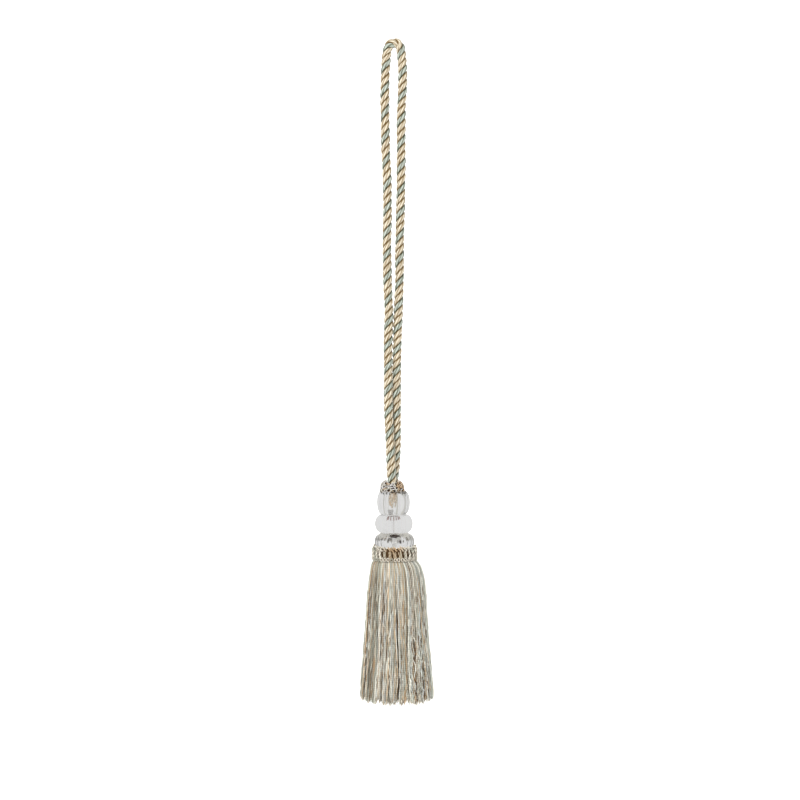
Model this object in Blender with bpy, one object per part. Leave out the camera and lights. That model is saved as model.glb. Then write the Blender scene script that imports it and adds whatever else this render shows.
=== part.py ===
"""Curtain tieback tassel: a long loop of twisted cord, a knotted ruff, three clear beads, a gimp collar
and a bell of cut threads.

Metres, +Z up, front towards -Y. The origin is the inner top of the loop, where the tassel hangs on its hook.
"""

import math
import random

import bmesh
import bpy
import numpy as np

MM = 0.001
TURN = 2 * math.pi
GAP = 0.3 * MM  # kept between neighbouring pieces

# --- Cord ---------------------------------------------------------------------------------------------------
CORD_DIAMETER = 7.4 * MM
CORD_STRANDS = 3
CORD_GROOVE = 0.30  # depth of the groove between two strands, as a share of the cord's radius
POINTS_PER_STRAND = 3
STEPS_PER_TURN = 7
ROUTE_SUBDIVISION = 24  # points read from the smooth curve between two points of the route

# The loop's centreline, from the front end in the ruff, up the left arm, over the hook and down the right arm
# to the rear end: (to the right, height, towards the viewer), in millimetres.
CORD_ROUTE_MM = (
    (-1.7, -387.5, 4.0), (-1.9, -381.0, 4.0), (-2.3, -371.5, 3.8), (-3.2, -353.0, 3.1), (-4.2, -334.0, 2.2),
    (-4.9, -315.0, 1.7), (-5.2, -277.5, 1.1), (-5.2, -258.0, 0.6), (-4.5, -235.5, 0.3), (-5.1, -218.0, 0.0),
    (-5.9, -196.0, -0.2), (-6.2, -170.0, 0.0), (-5.7, -146.0, 0.2), (-6.0, -117.0, 0.0), (-7.2, -91.0, -0.2),
    (-7.8, -64.0, 0.0), (-8.0, -42.0, 0.0), (-7.6, -24.0, 0.0), (-6.7, -10.0, 0.0), (-5.9, -3.2, 0.0),
    (-4.0, 1.7, 0.0), (0.4, 3.6, 0.0), (4.3, 2.0, 0.0), (6.1, -2.8, 0.0), (6.8, -9.0, 0.0), (7.6, -21.0, 0.0),
    (7.5, -38.0, 0.0), (6.4, -60.0, 0.2), (6.2, -118.0, -0.2), (4.9, -178.0, 0.2), (5.0, -199.0, 0.0),
    (4.2, -222.0, -0.2), (2.7, -268.0, -0.9), (2.2, -289.0, -1.4), (2.3, -330.0, -2.4), (2.0, -350.0, -3.2),
    (1.0, -369.0, -3.9), (-0.2, -380.0, -4.0), (-0.6, -387.5, -4.0),
)

# Where the sage strand faces the viewer, counted in turns of the lay: arm (-1 left, +1 right), height, turns.
LAY_MARKS = (
    (-1, -357.8 * MM, 0), (-1, -261.2 * MM, 5), (-1, -161.6 * MM, 10), (-1, -16.2 * MM, 17),
    (+1, -22.0 * MM, 20), (+1, -126.0 * MM, 25), (+1, -226.1 * MM, 30), (+1, -323.1 * MM, 35),
    (+1, -360.9 * MM, 37),
)
LAY_LEAD = 19.3 * MM  # length of one turn beyond the outermost marks
LAY_PHASE = -150 / 360  # turns that bring the sage strand's crest to the viewer at each mark

# --- Knotted ruff -------------------------------------------------------------------------------------------
RUFF_X = -1.2 * MM
RUFF_TOP, RUFF_BOTTOM = -381.0 * MM, -391.4 * MM
RUFF_BORE = 8.2 * MM  # front to back, round the two cords one behind the other
RUFF_BORE_SQUEEZE = 0.80  # its width from side to side, as a share of that
RUFF_MOUTH_FLARE = 0.7 * MM  # at the top of the bore
RUFF_MOUTH_SHARE = 0.86  # of the ruff's height, where the mouth starts to flare
RUFF_TOP_RADIUS, RUFF_HEM_RADIUS = 9.5 * MM, 11.9 * MM
RUFF_KNOTS = 16
RUFF_RELIEF = 0.95 * MM
RUFF_UNEVEN = 0.25 * MM
RUFF_KNOT_ROWS = 3.4  # down the ruff's side, staggered half a knot
RUFF_SEAT_GAP = 0.4 * MM
RUFF_SEAT_STEPS = (0.0, 0.9 * MM, 2.2 * MM)  # in from the hem, where the underside follows the bead
# Rows of knots from the top down: share of the height, swell beyond the flare in millimetres
RUFF_ROWS = ((1.00, -0.4), (0.88, 0.6), (0.70, 0.1), (0.55, 0.6), (0.38, 0.1), (0.22, 0.5), (0.05, 0.3))

# --- Beads: lowest and highest point, radii of the outline, place of the axis to the right ------------------
BEAD_BORE = 4.4 * MM
UPPER_BEAD = {
    "top": -389.6 * MM, "bottom": -410.2 * MM, "radius": 13.85 * MM, "flat": 9.5 * MM, "x": -0.7 * MM,
    "mouth": 6.5 * MM, "steps": 40, "flutes": 8, "flute_depth": 0.55 * MM, "turn_deg": 10.0,
}
MIDDLE_BEAD = {
    "top": -410.5 * MM, "bottom": -426.2 * MM, "radius": 16.5 * MM, "flat": 10.4 * MM, "x": -0.1 * MM,
    "mouth": BEAD_BORE, "steps": 30, "flutes": 0, "flute_depth": 0.0, "turn_deg": 0.0,
}
LOWER_BEAD = {
    "top": -426.5 * MM, "bottom": -442.0 * MM, "radius": 17.25 * MM, "flat": 11.0 * MM, "x": 0.4 * MM,
    "mouth": BEAD_BORE, "steps": 48, "flutes": 24, "flute_depth": 0.35 * MM, "turn_deg": 0.0,
}
BEAD_ARC_STEPS = 7  # straight pieces down a bead's rounded side
BEAD_STRAIGHT_SHARE = 0.45  # of the height, where a widening bore starts to widen

# --- Bound tail of the cord, through the beads: radius at each height ---------------------------------------
CORE_STATIONS = (
    (-387.8 * MM, 4.6 * MM), (-391.5 * MM, 4.8 * MM), (-397.0 * MM, 4.3 * MM), (-403.0 * MM, 3.6 * MM),
    (-442.0 * MM, 3.5 * MM),
)
CORE_TOP_X, CORE_FOOT_X = -1.1 * MM, 0.4 * MM

# --- Collar -------------------------------------------------------------------------------------------------
COLLAR_X = 0.5 * MM
COLLAR_BOTTOM = -450.4 * MM
COLLAR_RADIUS = 19.6 * MM
COLLAR_RIBS = 26
COLLAR_RELIEF = 0.85 * MM
COLLAR_TURN_DEG = -95.0  # a gap between two ribs, just left of the front
# Outline in millimetres, up the inside and down the outside: (beyond COLLAR_RADIUS, above COLLAR_BOTTOM)
COLLAR_OUTLINE_MM = (
    (-2.1, 3.4), (-2.1, 11.8), (-1.9, 13.0), (-0.9, 12.7), (-0.3, 11.3), (-0.8, 9.8), (0.0, 8.4), (0.1, 6.0),
    (0.0, 4.0), (-0.7, 3.0), (0.1, 1.6), (0.2, 0.4), (-0.1, 0.0),
)
COLLAR_TOP_ROW, COLLAR_BOTTOM_ROW = 9.7 * MM, 2.9 * MM  # heights beyond which the knots are staggered
COLLAR_PLAIN_WIDTH = 1.0 * MM  # of the band's inner side, which has no ribs

# --- Skirt --------------------------------------------------------------------------------------------------
BACKING_TOP, BACKING_BOTTOM = -442.3 * MM, -446.8 * MM
BACKING_RADIUS = 17.2 * MM
BACKING_SIDES = 40
STRAND_ROOT = 1.2 * MM  # length of each lock inside the backing
TIP_HEIGHT, TIP_UNEVEN = -569.0 * MM, 2.6 * MM
SKIRT_DRIFT = 1.2 * MM  # sideways, as the bell swings clear of the collar
SKIRT_DRIFT_LENGTH = 5.0 * MM  # below the collar, over which most of the drift comes in
STRAND_WANDER = 0.22 * MM
STRAND_JITTER = 0.07  # of the distance between two locks of a ring
# One row for each ring of locks, in millimetres: how many, ring's radius at the root, at the heights between
# and at the tip, radius of a lock at its root and at its tip, and the heights between, from the root down.
SKIRT_RINGS = (
    (60, 15.5, (16.6, 22.4, 24.8), 31.4, 0.58, 1.30, (-448.2, -456.8, -468.0)),
    (54, 13.3, (14.6, 21.3), 27.3, 0.56, 1.25, (-449.0, -472.0)),
    (44, 11.1, (12.8, 17.8), 23.0, 0.57, 1.25, (-450.0, -472.0)),
    (34, 8.9, (11.2,), 18.6, 0.62, 1.25, (-456.0,)),
    (24, 6.6, (), 14.0, 0.62, 1.25, ()),
    (14, 4.2, (), 9.2, 0.62, 1.30, ()),
    (6, 1.8, (), 4.4, 0.62, 1.30, ()),
)
CREASE_DEG = 55  # edges sharper than this stay sharp
SEED = 11

# --- Finishes: (colour, roughness, metallic) ----------------------------------------------------------------
SAGE = ((0.42, 0.47, 0.43), 0.55, 0.0)
GIMP = ((0.47, 0.41, 0.31), 0.65, 0.0)
THREADS = ((0.48, 0.45, 0.37), 0.50, 0.0)
TAIL = ((0.55, 0.40, 0.25), 0.65, 0.0)
CLEAR = ((0.86, 0.87, 0.86), 0.06, 0.0)


def clear_scene():
    for obj in list(bpy.data.objects):
        bpy.data.objects.remove(obj, do_unlink=True)


def new_collection(name):
    collection = bpy.data.collections.new(name)
    bpy.context.scene.collection.children.link(collection)
    return collection


def new_material(name, finish, see_through=0.0):
    colour, roughness, metallic = finish
    material = bpy.data.materials.new(name)
    material.use_nodes = True
    shader = material.node_tree.nodes["Principled BSDF"]
    shader.inputs["Base Color"].default_value = (*colour, 1.0)
    shader.inputs["Roughness"].default_value = roughness
    shader.inputs["Metallic"].default_value = metallic
    shader.inputs["Transmission Weight"].default_value = see_through
    return material


def add_object(name, data, collection, material, parent=None):
    obj = bpy.data.objects.new(name, data)
    collection.objects.link(obj)
    obj.parent = parent
    if material:
        data.materials.clear()
        data.materials.append(material)
    return obj


def shade_smooth(mesh):
    mesh.shade_smooth()
    mesh.set_sharp_from_angle(angle=math.radians(CREASE_DEG))


def evaluated_mesh(obj):
    """The object's shape as a plain mesh, its loose caps welded."""
    bpy.context.view_layer.update()
    depsgraph = bpy.context.evaluated_depsgraph_get()
    mesh = bpy.data.meshes.new_from_object(obj.evaluated_get(depsgraph))
    bm = bmesh.new()
    bm.from_mesh(mesh)
    bmesh.ops.remove_doubles(bm, verts=bm.verts, dist=0.001 * MM)
    bm.to_mesh(mesh)
    bm.free()
    return mesh


def spun_mesh(outline, steps, relief=None):
    """A closed outline of (radius, height) points turned once about +Z, then moved by relief(angle, radius,
    height), which gives the new radius and height of each point."""
    bm = bmesh.new()
    points = [bm.verts.new((radius, 0.0, height)) for radius, height in outline]
    lines = [bm.edges.new(pair) for pair in zip(points, points[1:] + points[:1])]
    bmesh.ops.spin(
        bm, geom=points + lines, cent=(0, 0, 0), axis=(0, 0, 1), angle=TURN, steps=steps, use_merge=True,
    )
    bmesh.ops.remove_doubles(bm, verts=bm.verts, dist=0.001 * MM)
    if relief:
        for vert in bm.verts:
            angle = math.atan2(vert.co.y, vert.co.x)
            radius, height = relief(angle, math.hypot(vert.co.x, vert.co.y), vert.co.z)
            vert.co = (radius * math.cos(angle), radius * math.sin(angle), height)
    bmesh.ops.recalc_face_normals(bm, faces=bm.faces)
    mesh = bpy.data.meshes.new("spun")
    bm.to_mesh(mesh)
    bm.free()
    return mesh


# --- Cord ---------------------------------------------------------------------------------------------------
def smooth_route():
    """The route as a dense polyline on a Catmull-Rom curve."""
    points = np.array(CORD_ROUTE_MM) * MM
    ends = np.vstack([2 * points[0] - points[1], points, 2 * points[-1] - points[-2]])
    dense = []
    for before, start, end, after in zip(ends, ends[1:], ends[2:], ends[3:]):
        for step in range(ROUTE_SUBDIVISION):
            t = step / ROUTE_SUBDIVISION
            dense.append(0.5 * (
                2 * start + (end - before) * t + (2 * before - 5 * start + 4 * end - after) * t**2
                + (3 * start - before - 3 * end + after) * t**3
            ))
    dense.append(points[-1])
    return np.array(dense)


def lay_along(route):
    """Length along the route and turns of the lay at each of its points."""
    length = np.concatenate([[0], np.cumsum(np.linalg.norm(np.diff(route, axis=0), axis=1))])
    crown = int(np.argmax(route[:, 1]))
    arms = {-1: slice(0, crown), +1: slice(crown, len(route))}
    marks = []
    for arm, height, turns in LAY_MARKS:
        stretch = arms[arm]
        nearest = int(np.argmin(np.abs(route[stretch, 1] - height)))
        marks.append((length[stretch][nearest], turns))
    first, last = marks[0], marks[-1]
    marks.insert(0, (0.0, first[1] - first[0] / LAY_LEAD))
    marks.append((length[-1], last[1] + (length[-1] - last[0]) / LAY_LEAD))
    at, turns = zip(*marks)
    return length, np.interp(length, at, turns)


def strand_profile(collection):
    """The cord's cross-section: one lobe for each strand, with a groove between two lobes."""
    count = CORD_STRANDS * POINTS_PER_STRAND
    curve = bpy.data.curves.new("cord_section", "CURVE")
    curve.dimensions = "2D"
    spline = curve.splines.new("POLY")
    spline.points.add(count - 1)
    spline.use_cyclic_u = True
    crest = CORD_DIAMETER / 2
    for index, point in enumerate(spline.points):
        angle = -TURN * index / count  # clockwise, which turns the cord's faces outwards
        in_groove = index % POINTS_PER_STRAND == 0
        radius = crest * (1 - CORD_GROOVE) if in_groove else crest
        point.co = (radius * math.cos(angle), radius * math.sin(angle), 0.0, 1.0)
    guide = add_object("cord_section", curve, collection, None)
    guide.hide_render = True
    guide.display_type = "WIRE"
    return guide


def build_cord(collection, guides, material):
    """The loop, drawn flat with its local Z towards the viewer and then stood up on its hook."""
    route = smooth_route()
    length, turns = lay_along(route)
    count = int(round((turns[-1] - turns[0]) * STEPS_PER_TURN)) + 1
    stations = np.interp(np.linspace(turns[0], turns[-1], count), turns, length)
    curve = bpy.data.curves.new("cord_loop", "CURVE")
    curve.dimensions = "3D"
    curve.twist_mode = "Z_UP"
    curve.bevel_mode = "OBJECT"
    curve.bevel_object = strand_profile(guides)
    curve.use_fill_caps = True
    spline = curve.splines.new("POLY")
    spline.points.add(count - 1)
    for point, station in zip(spline.points, stations):
        place = [np.interp(station, length, route[:, axis]) for axis in range(3)]
        point.co = (*place, 1.0)
        point.tilt = TURN * (float(np.interp(station, length, turns)) + LAY_PHASE)
    cord = add_object("cord_loop", curve, collection, material)
    cord.rotation_euler = (math.radians(90), 0, 0)
    return cord


# --- Ruff, beads, tail and collar ---------------------------------------------------------------------------
def shoulder_height(radius):
    """Height of the upper bead's side above its middle, at a radius."""
    bead = UPPER_BEAD
    out = max(radius - bead["flat"], 0.0) / (bead["radius"] - bead["flat"])
    middle = (bead["top"] + bead["bottom"]) / 2
    return middle + (bead["top"] - middle) * math.sqrt(1 - out**2)


def build_ruff(collection, material, parent):
    """A flared ring of staggered knots, its underside seated on the upper bead's shoulder."""
    height = RUFF_TOP - RUFF_BOTTOM
    flare = RUFF_HEM_RADIUS - RUFF_TOP_RADIUS
    off_axis = abs(RUFF_X - UPPER_BEAD["x"])
    seat = [
        (radius, shoulder_height(radius - off_axis) + RUFF_SEAT_GAP - RUFF_BOTTOM)
        for radius in (RUFF_HEM_RADIUS - step for step in RUFF_SEAT_STEPS)
    ]
    bore_foot = UPPER_BEAD["top"] + GAP - RUFF_BOTTOM
    mouth = RUFF_BORE + RUFF_MOUTH_FLARE
    outline = [(RUFF_BORE, bore_foot), (RUFF_BORE, height * RUFF_MOUTH_SHARE), (mouth, height)]
    for share, swell in RUFF_ROWS:
        outline.append((RUFF_TOP_RADIUS + flare * (1 - share) + swell * MM, height * share))
    outline += seat
    rng = random.Random(SEED)

    def knots(angle, radius, z):
        on_seat = any(math.hypot(radius - r, z - h) < 0.01 * MM for r, h in seat)
        if radius < mouth + 0.1 * MM:
            squeeze = 1 - (1 - RUFF_BORE_SQUEEZE) * abs(math.cos(angle))
            return radius * squeeze, z
        if on_seat:
            return radius, z
        row = math.floor(RUFF_KNOT_ROWS * z / height)
        wave = math.cos(RUFF_KNOTS * angle + math.pi * row)
        uneven = rng.uniform(-RUFF_UNEVEN, RUFF_UNEVEN)
        depth = min(RUFF_RELIEF, (radius - RUFF_BORE) / 3)
        return radius + depth * wave + uneven, z + rng.uniform(0, RUFF_UNEVEN)

    ruff = add_object("top_rosette", spun_mesh(outline, 2 * RUFF_KNOTS, knots), collection, material, parent)
    ruff.location = (RUFF_X, 0.0, RUFF_BOTTOM)
    shade_smooth(ruff.data)
    return ruff


def bead_outline(bead):
    """Bore up the middle, flat ends, and a rounded side drawn as half an ellipse."""
    height = bead["top"] - bead["bottom"]
    bulge = bead["radius"] - bead["flat"]
    outline = [(BEAD_BORE, 0.0), (BEAD_BORE, height * BEAD_STRAIGHT_SHARE), (bead["mouth"], height)]
    for step in range(BEAD_ARC_STEPS + 1):
        angle = math.pi * (0.5 - step / BEAD_ARC_STEPS)
        outline.append((bead["flat"] + bulge * math.cos(angle), height / 2 * (1 + math.sin(angle))))
    return outline


def build_bead(name, bead, collection, material, parent):
    flat, radius = bead["flat"], bead["radius"]

    def flutes(angle, point_radius, z):
        out = min(max((point_radius - flat) / (radius - flat), 0.0), 1.0)
        groove = 0.5 + 0.5 * math.cos(bead["flutes"] * angle)
        return point_radius - bead["flute_depth"] * out * groove, z

    obj = add_object(
        name, spun_mesh(bead_outline(bead), bead["steps"], flutes), collection, material, parent,
    )
    obj.location = (bead["x"], 0.0, bead["bottom"])
    obj.rotation_euler = (0, 0, math.radians(bead["turn_deg"]))
    shade_smooth(obj.data)
    return obj


def build_core(collection, material, parent):
    """The cord's tail, bound to a taper that the beads slide onto."""
    curve = bpy.data.curves.new("cord_core", "CURVE")
    curve.dimensions = "3D"
    curve.bevel_depth = CORE_STATIONS[-1][1]
    curve.bevel_resolution = 4
    curve.use_fill_caps = True
    spline = curve.splines.new("POLY")
    spline.points.add(len(CORE_STATIONS) - 1)
    top, foot = CORE_STATIONS[0][0], CORE_STATIONS[-1][0]
    for point, (height, radius) in zip(spline.points, CORE_STATIONS):
        share = (top - height) / (top - foot)
        point.co = (CORE_TOP_X + (CORE_FOOT_X - CORE_TOP_X) * share, 0.0, height, 1.0)
        point.radius = radius / curve.bevel_depth
    return add_object("cord_core", curve, collection, material, parent)


def build_collar(collection, material, parent):
    """A band of gimp: knots along both edges and upright ribs between, staggered half a rib."""
    outline = [(COLLAR_RADIUS + out * MM, up * MM) for out, up in COLLAR_OUTLINE_MM]
    inside = min(radius for radius, height in outline) + COLLAR_PLAIN_WIDTH

    def ribs(angle, radius, z):
        if radius < inside or z < 0.1 * MM:
            return radius, z
        staggered = z > COLLAR_TOP_ROW or z < COLLAR_BOTTOM_ROW
        wave = math.cos(COLLAR_RIBS * angle + (0 if staggered else math.pi))
        return radius + COLLAR_RELIEF * wave, z

    collar = add_object("collar", spun_mesh(outline, 2 * COLLAR_RIBS, ribs), collection, material, parent)
    collar.location = (COLLAR_X, 0.0, COLLAR_BOTTOM)
    collar.rotation_euler = (0, 0, math.radians(COLLAR_TURN_DEG))
    shade_smooth(collar.data)
    return collar


# --- Skirt --------------------------------------------------------------------------------------------------
def lock_points(ring, index, rng):
    """One lock's centreline as (x, y, z, radius) in the skirt's own frame."""
    count, root, between, tip, root_radius, tip_radius, heights = ring
    stagger = 0.5 * (count % 4 == 0) + rng.uniform(-STRAND_JITTER, STRAND_JITTER)
    angle = TURN * (index + stagger) / count
    tip_height = TIP_HEIGHT + rng.uniform(-TIP_UNEVEN, TIP_UNEVEN)
    stations = [(root * MM, BACKING_BOTTOM + STRAND_ROOT)]
    stations += [(radius * MM, height * MM) for radius, height in zip(between, heights)]
    stations.append((tip * MM, tip_height))
    top = stations[0][1]
    wander = rng.uniform(-1, 1) * STRAND_WANDER
    points = []
    for number, (radius, height) in enumerate(stations):
        down = (top - height) / (top - tip_height)
        fall = max(COLLAR_BOTTOM - height, 0.0)
        drift = SKIRT_DRIFT * (1 - math.exp(-fall / SKIRT_DRIFT_LENGTH))
        side = wander * math.sin(math.pi * number / 2) * down
        points.append((
            radius * math.cos(angle) - side * math.sin(angle) + drift,
            radius * math.sin(angle) + side * math.cos(angle),
            height,
            (root_radius + (tip_radius - root_radius) * math.sqrt(down)) * MM,
        ))
    return points


def build_skirt(collection, guides, material, parent):
    """Rings of four-sided locks, their roots sunk in a round backing and joined to it."""
    rng = random.Random(SEED)
    curve = bpy.data.curves.new("locks", "CURVE")
    curve.dimensions = "3D"
    curve.bevel_depth = 1.0 * MM
    curve.bevel_resolution = 0
    curve.use_fill_caps = True
    for ring in SKIRT_RINGS:
        for index in range(ring[0]):
            points = lock_points(ring, index, rng)
            spline = curve.splines.new("POLY")
            spline.points.add(len(points) - 1)
            for point, (x, y, z, radius) in zip(spline.points, points):
                point.co = (x, y, z, 1.0)
                point.radius = radius / curve.bevel_depth
    drawn = add_object("locks_drawn", curve, guides, None)
    locks = add_object("locks", evaluated_mesh(drawn), guides, None)
    bpy.data.objects.remove(drawn)
    locks.hide_render = True
    locks.display_type = "WIRE"

    bm = bmesh.new()
    bmesh.ops.create_cone(
        bm, cap_ends=True, segments=BACKING_SIDES, radius1=BACKING_RADIUS, radius2=BACKING_RADIUS,
        depth=BACKING_TOP - BACKING_BOTTOM,
    )
    bmesh.ops.translate(bm, verts=bm.verts, vec=(0, 0, (BACKING_TOP + BACKING_BOTTOM) / 2))
    mesh = bpy.data.meshes.new("skirt")
    bm.to_mesh(mesh)
    bm.free()
    skirt = add_object("skirt", mesh, collection, material, parent)
    join = skirt.modifiers.new("roots", "BOOLEAN")
    join.operation = "UNION"
    join.solver = "EXACT"
    join.object = locks
    skirt.location = (COLLAR_X, 0.0, 0.0)
    locks.location = skirt.location
    return skirt


def main():
    clear_scene()
    parts = new_collection("curtain_tieback_tassel")
    guides = new_collection("guides")
    tassel = bpy.data.objects.new("tassel", None)
    parts.objects.link(tassel)

    gimp = new_material("gimp_braid", GIMP)
    clear = new_material("clear_acrylic", CLEAR, see_through=1.0)
    build_cord(parts, guides, new_material("twisted_cord", SAGE))
    build_ruff(parts, gimp, tassel)
    build_bead("bead_upper", UPPER_BEAD, parts, clear, tassel)
    build_bead("bead_middle", MIDDLE_BEAD, parts, clear, tassel)
    build_bead("bead_lower", LOWER_BEAD, parts, clear, tassel)
    build_core(parts, new_material("cord_tail", TAIL), tassel)
    build_collar(parts, gimp, tassel)
    build_skirt(parts, guides, new_material("skirt_threads", THREADS), tassel)


if __name__ == "__main__":
    main()
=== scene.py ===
"""Looks of a curtain tieback tassel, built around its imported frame: a loop of twisted rayon cord, a knotted ruff,
three clear acrylic beads over the cord's bound tail, a collar of gimp and a bell of cut threads.

Metres, +Z up, front towards -Y. The origin is the inner top of the loop.
"""

import math
import random

import bmesh
import bpy
import numpy as np
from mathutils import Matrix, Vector


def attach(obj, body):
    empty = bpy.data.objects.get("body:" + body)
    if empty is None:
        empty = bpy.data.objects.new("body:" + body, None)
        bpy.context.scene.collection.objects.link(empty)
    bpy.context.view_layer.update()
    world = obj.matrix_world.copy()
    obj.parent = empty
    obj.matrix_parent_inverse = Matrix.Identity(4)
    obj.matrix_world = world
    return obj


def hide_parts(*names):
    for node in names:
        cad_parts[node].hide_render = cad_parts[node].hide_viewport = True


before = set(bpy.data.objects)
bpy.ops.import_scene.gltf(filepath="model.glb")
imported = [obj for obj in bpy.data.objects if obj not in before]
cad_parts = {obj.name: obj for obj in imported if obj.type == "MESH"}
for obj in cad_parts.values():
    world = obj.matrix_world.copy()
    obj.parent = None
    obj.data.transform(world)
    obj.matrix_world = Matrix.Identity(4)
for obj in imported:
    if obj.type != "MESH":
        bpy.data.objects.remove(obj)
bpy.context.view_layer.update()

bl_info = {
    "name": "Curtain tieback tassel",
    "version": (1, 0, 0),
    "blender": (4, 5, 0),
    "location": "3D View > Sidebar > Tassel",
    "description": "Builds the visible cord, ruff, beads, collar and skirt of a curtain tieback tassel",
    "category": "Add Mesh",
}

BODY = "root"
MM = 0.001
TURN = 2 * math.pi
SEED = 11  # every scatter draws from this seed or from one beside it

# --- Camera, lamps and sweep, in metres ---------------------------------------------------------------------
CAMERA_LENS_MM, CAMERA_SENSOR_MM = 64.07, 36
CAMERA_PLACE = (0.00527, -1.25, -0.3099)
LAMP_AIM = (0, 0, -0.3)
# Name, the setting that holds its power, place, width
LAMPS = (("key_light", "key", (-0.75, -1.25, 0.65), 1.2), ("fill_light", "fill", (1.2, -1.0, 0.0), 1.0))
# Floor 1 m below the hook, curving up 2.2 m behind the tassel, clear of the camera in any view
SWEEP_FLOOR, SWEEP_TOP = -1.0, 3.0
SWEEP_FRONT, SWEEP_BACK = -3.0, 2.2
SWEEP_BEND, SWEEP_HALF_WIDTH = 0.6, 4.0

# --- Cord route, as the source's: (to the right, towards the viewer negative, height), in metres ------------
CORD_ROUTE = (
    (-0.0017, -0.0040, -0.3875), (-0.0019, -0.0040, -0.3810), (-0.0023, -0.0038, -0.3715),
    (-0.0032, -0.0031, -0.3530), (-0.0042, -0.0022, -0.3340), (-0.0049, -0.0017, -0.3150),
    (-0.0052, -0.0011, -0.2775), (-0.0052, -0.0006, -0.2580), (-0.0045, -0.0003, -0.2355),
    (-0.0051, 0.0000, -0.2180), (-0.0059, 0.0002, -0.1960), (-0.0062, 0.0000, -0.1700),
    (-0.0057, -0.0002, -0.1460), (-0.0060, 0.0000, -0.1170), (-0.0072, 0.0002, -0.0910),
    (-0.0078, 0.0000, -0.0640), (-0.0080, 0.0000, -0.0420), (-0.0076, 0.0000, -0.0240),
    (-0.0067, 0.0000, -0.0100), (-0.0059, 0.0000, -0.0032), (-0.0040, 0.0000, 0.0017),
    (0.0004, 0.0000, 0.0036), (0.0043, 0.0000, 0.0020), (0.0061, 0.0000, -0.0028),
    (0.0068, 0.0000, -0.0090), (0.0076, 0.0000, -0.0210), (0.0075, 0.0000, -0.0380),
    (0.0064, -0.0002, -0.0600), (0.0062, 0.0002, -0.1180), (0.0049, -0.0002, -0.1780),
    (0.0050, 0.0000, -0.1990), (0.0042, 0.0002, -0.2220), (0.0027, 0.0009, -0.2680),
    (0.0022, 0.0014, -0.2890), (0.0023, 0.0024, -0.3300), (0.0020, 0.0032, -0.3500),
    (0.0010, 0.0039, -0.3690), (-0.0002, 0.0040, -0.3800), (-0.0006, 0.0040, -0.3875),
)
ROUTE_SUBDIVISION = 24
ROUTE_STEP = 0.64 * MM  # between two stations of the drawn cord
# Where the sage strand faces the viewer: arm (-1 left, +1 right), height, turns of the lay
LAY_MARKS = (
    (-1, -0.3578, 0), (-1, -0.2612, 5), (-1, -0.1616, 10), (-1, -0.0162, 17), (+1, -0.0220, 20),
    (+1, -0.1260, 25), (+1, -0.2261, 30), (+1, -0.3231, 35), (+1, -0.3609, 37),
)
LAY_LEAD = 19.3 * MM  # one turn of the lay beyond the first and the last mark

# --- Beads: the source's three, in finer steps and with wider bores -----------------------------------------
# Their radii and flat ends differ from the source's by up to 1 mm. The upper one has 7 lobes, 0.85 mm deep, and in
# the source 8, 0.55 mm deep.
BEADS = {
    "upper": dict(
        node="bead_upper", top=-389.6 * MM, bottom=-410.2 * MM, radius=14.8 * MM, flat=10.3 * MM, x=-0.7 * MM,
        bore=5.0 * MM, mouth=6.5 * MM, steps=140, lobes=7, depth=0.85 * MM, turn=-100.286,
    ),
    "middle": dict(
        node="bead_middle", top=-410.5 * MM, bottom=-426.2 * MM, radius=16.6 * MM, flat=11.4 * MM, x=-0.1 * MM,
        bore=7.0 * MM, mouth=7.0 * MM, steps=96, lobes=0, depth=0.0, turn=0.0,
    ),
    "lower": dict(
        node="bead_lower", top=-426.5 * MM, bottom=-442.0 * MM, radius=17.6 * MM, flat=10.2 * MM, x=0.4 * MM,
        bore=6.0 * MM, mouth=6.0 * MM, steps=192, lobes=24, depth=0.35 * MM, turn=0.0,
    ),
}
# The upper bead is painted darker where two lobes meet, on its outside alone, and is rougher there: painted shade in
# the groove
GROOVE_SHARE = 0.10  # of a lobe's width, on each side of the line between the lobes
GROOVE_START = 0.6 * MM  # beyond the flat ends

# --- Cord's tail. The beads bend the view: what shows at a bead's upper shoulder lies in the middle of its bore
TAIL_YARNS, TAIL_STEPS = 15, 24
TAIL_SHIFT = -2.0 * MM  # where the cut yarns end, from the hook's line
TAIL_SWING = 1.8 * MM  # how much nearer to that line they begin
# Depth below the hook, radius
TAIL_OUTLINE_MM = ((387.8, 3.3), (393.0, 3.4), (396.5, 3.1), (400.0, 2.3), (404.5, 1.3))
# Coils of binding, in millimetres: top, foot, radius, pitch, yarn's radius, bulge halfway, shift to the right
TAIL_COILS_MM = {
    "tail_knot": (-404.6, -406.0, 1.2, 0.7, 0.42, 0.5, -2.5),
    "tail_binding": (-406.4, -441.8, 0.5, 0.8, 0.4, 0.0, 0.0),
    "tail_whipping": (-430.5, -432.8, 5.4, 0.5, 0.46, 0.0, 0.28),
}
# Upright stitches round the middle bead's bore: how many, top, foot, radius, yarn's radius
TAIL_POSTS, TAIL_POSTS_MM = 20, (-414.2, -416.5, 6.3, 0.42)
# Cut ends of the whipping, in millimetres: to the right, depth of the top below the hook, yarn's radius
TAIL_ENDS_MM = ((-3.2, 434.0, 0.75), (4.3, 434.4, 0.32))

# --- Collar, in millimetres ---------------------------------------------------------------------------------
COLLAR_FOOT = (0.5 * MM, 0.0, -450.4 * MM)
# Section of the band that the stitches lie on: (radius, height above the foot)
COLLAR_BAND_MM = (
    (17.4, 0.8), (17.4, 12.0), (17.6, 12.4), (17.9, 11.8), (18.1, 10.8), (18.4, 9.0), (18.55, 6.5), (18.5, 3.0),
    (18.3, 1.0), (17.9, 0.6),
)
COLLAR_LINING = 17.8 * MM  # the band is lined inside this radius
COLLAR_RADIUS = 18.9 * MM  # of the ring that the stitches start from
COLLAR_START = math.radians(-95.0)  # a gap between two ribs, just left of the front
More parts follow.
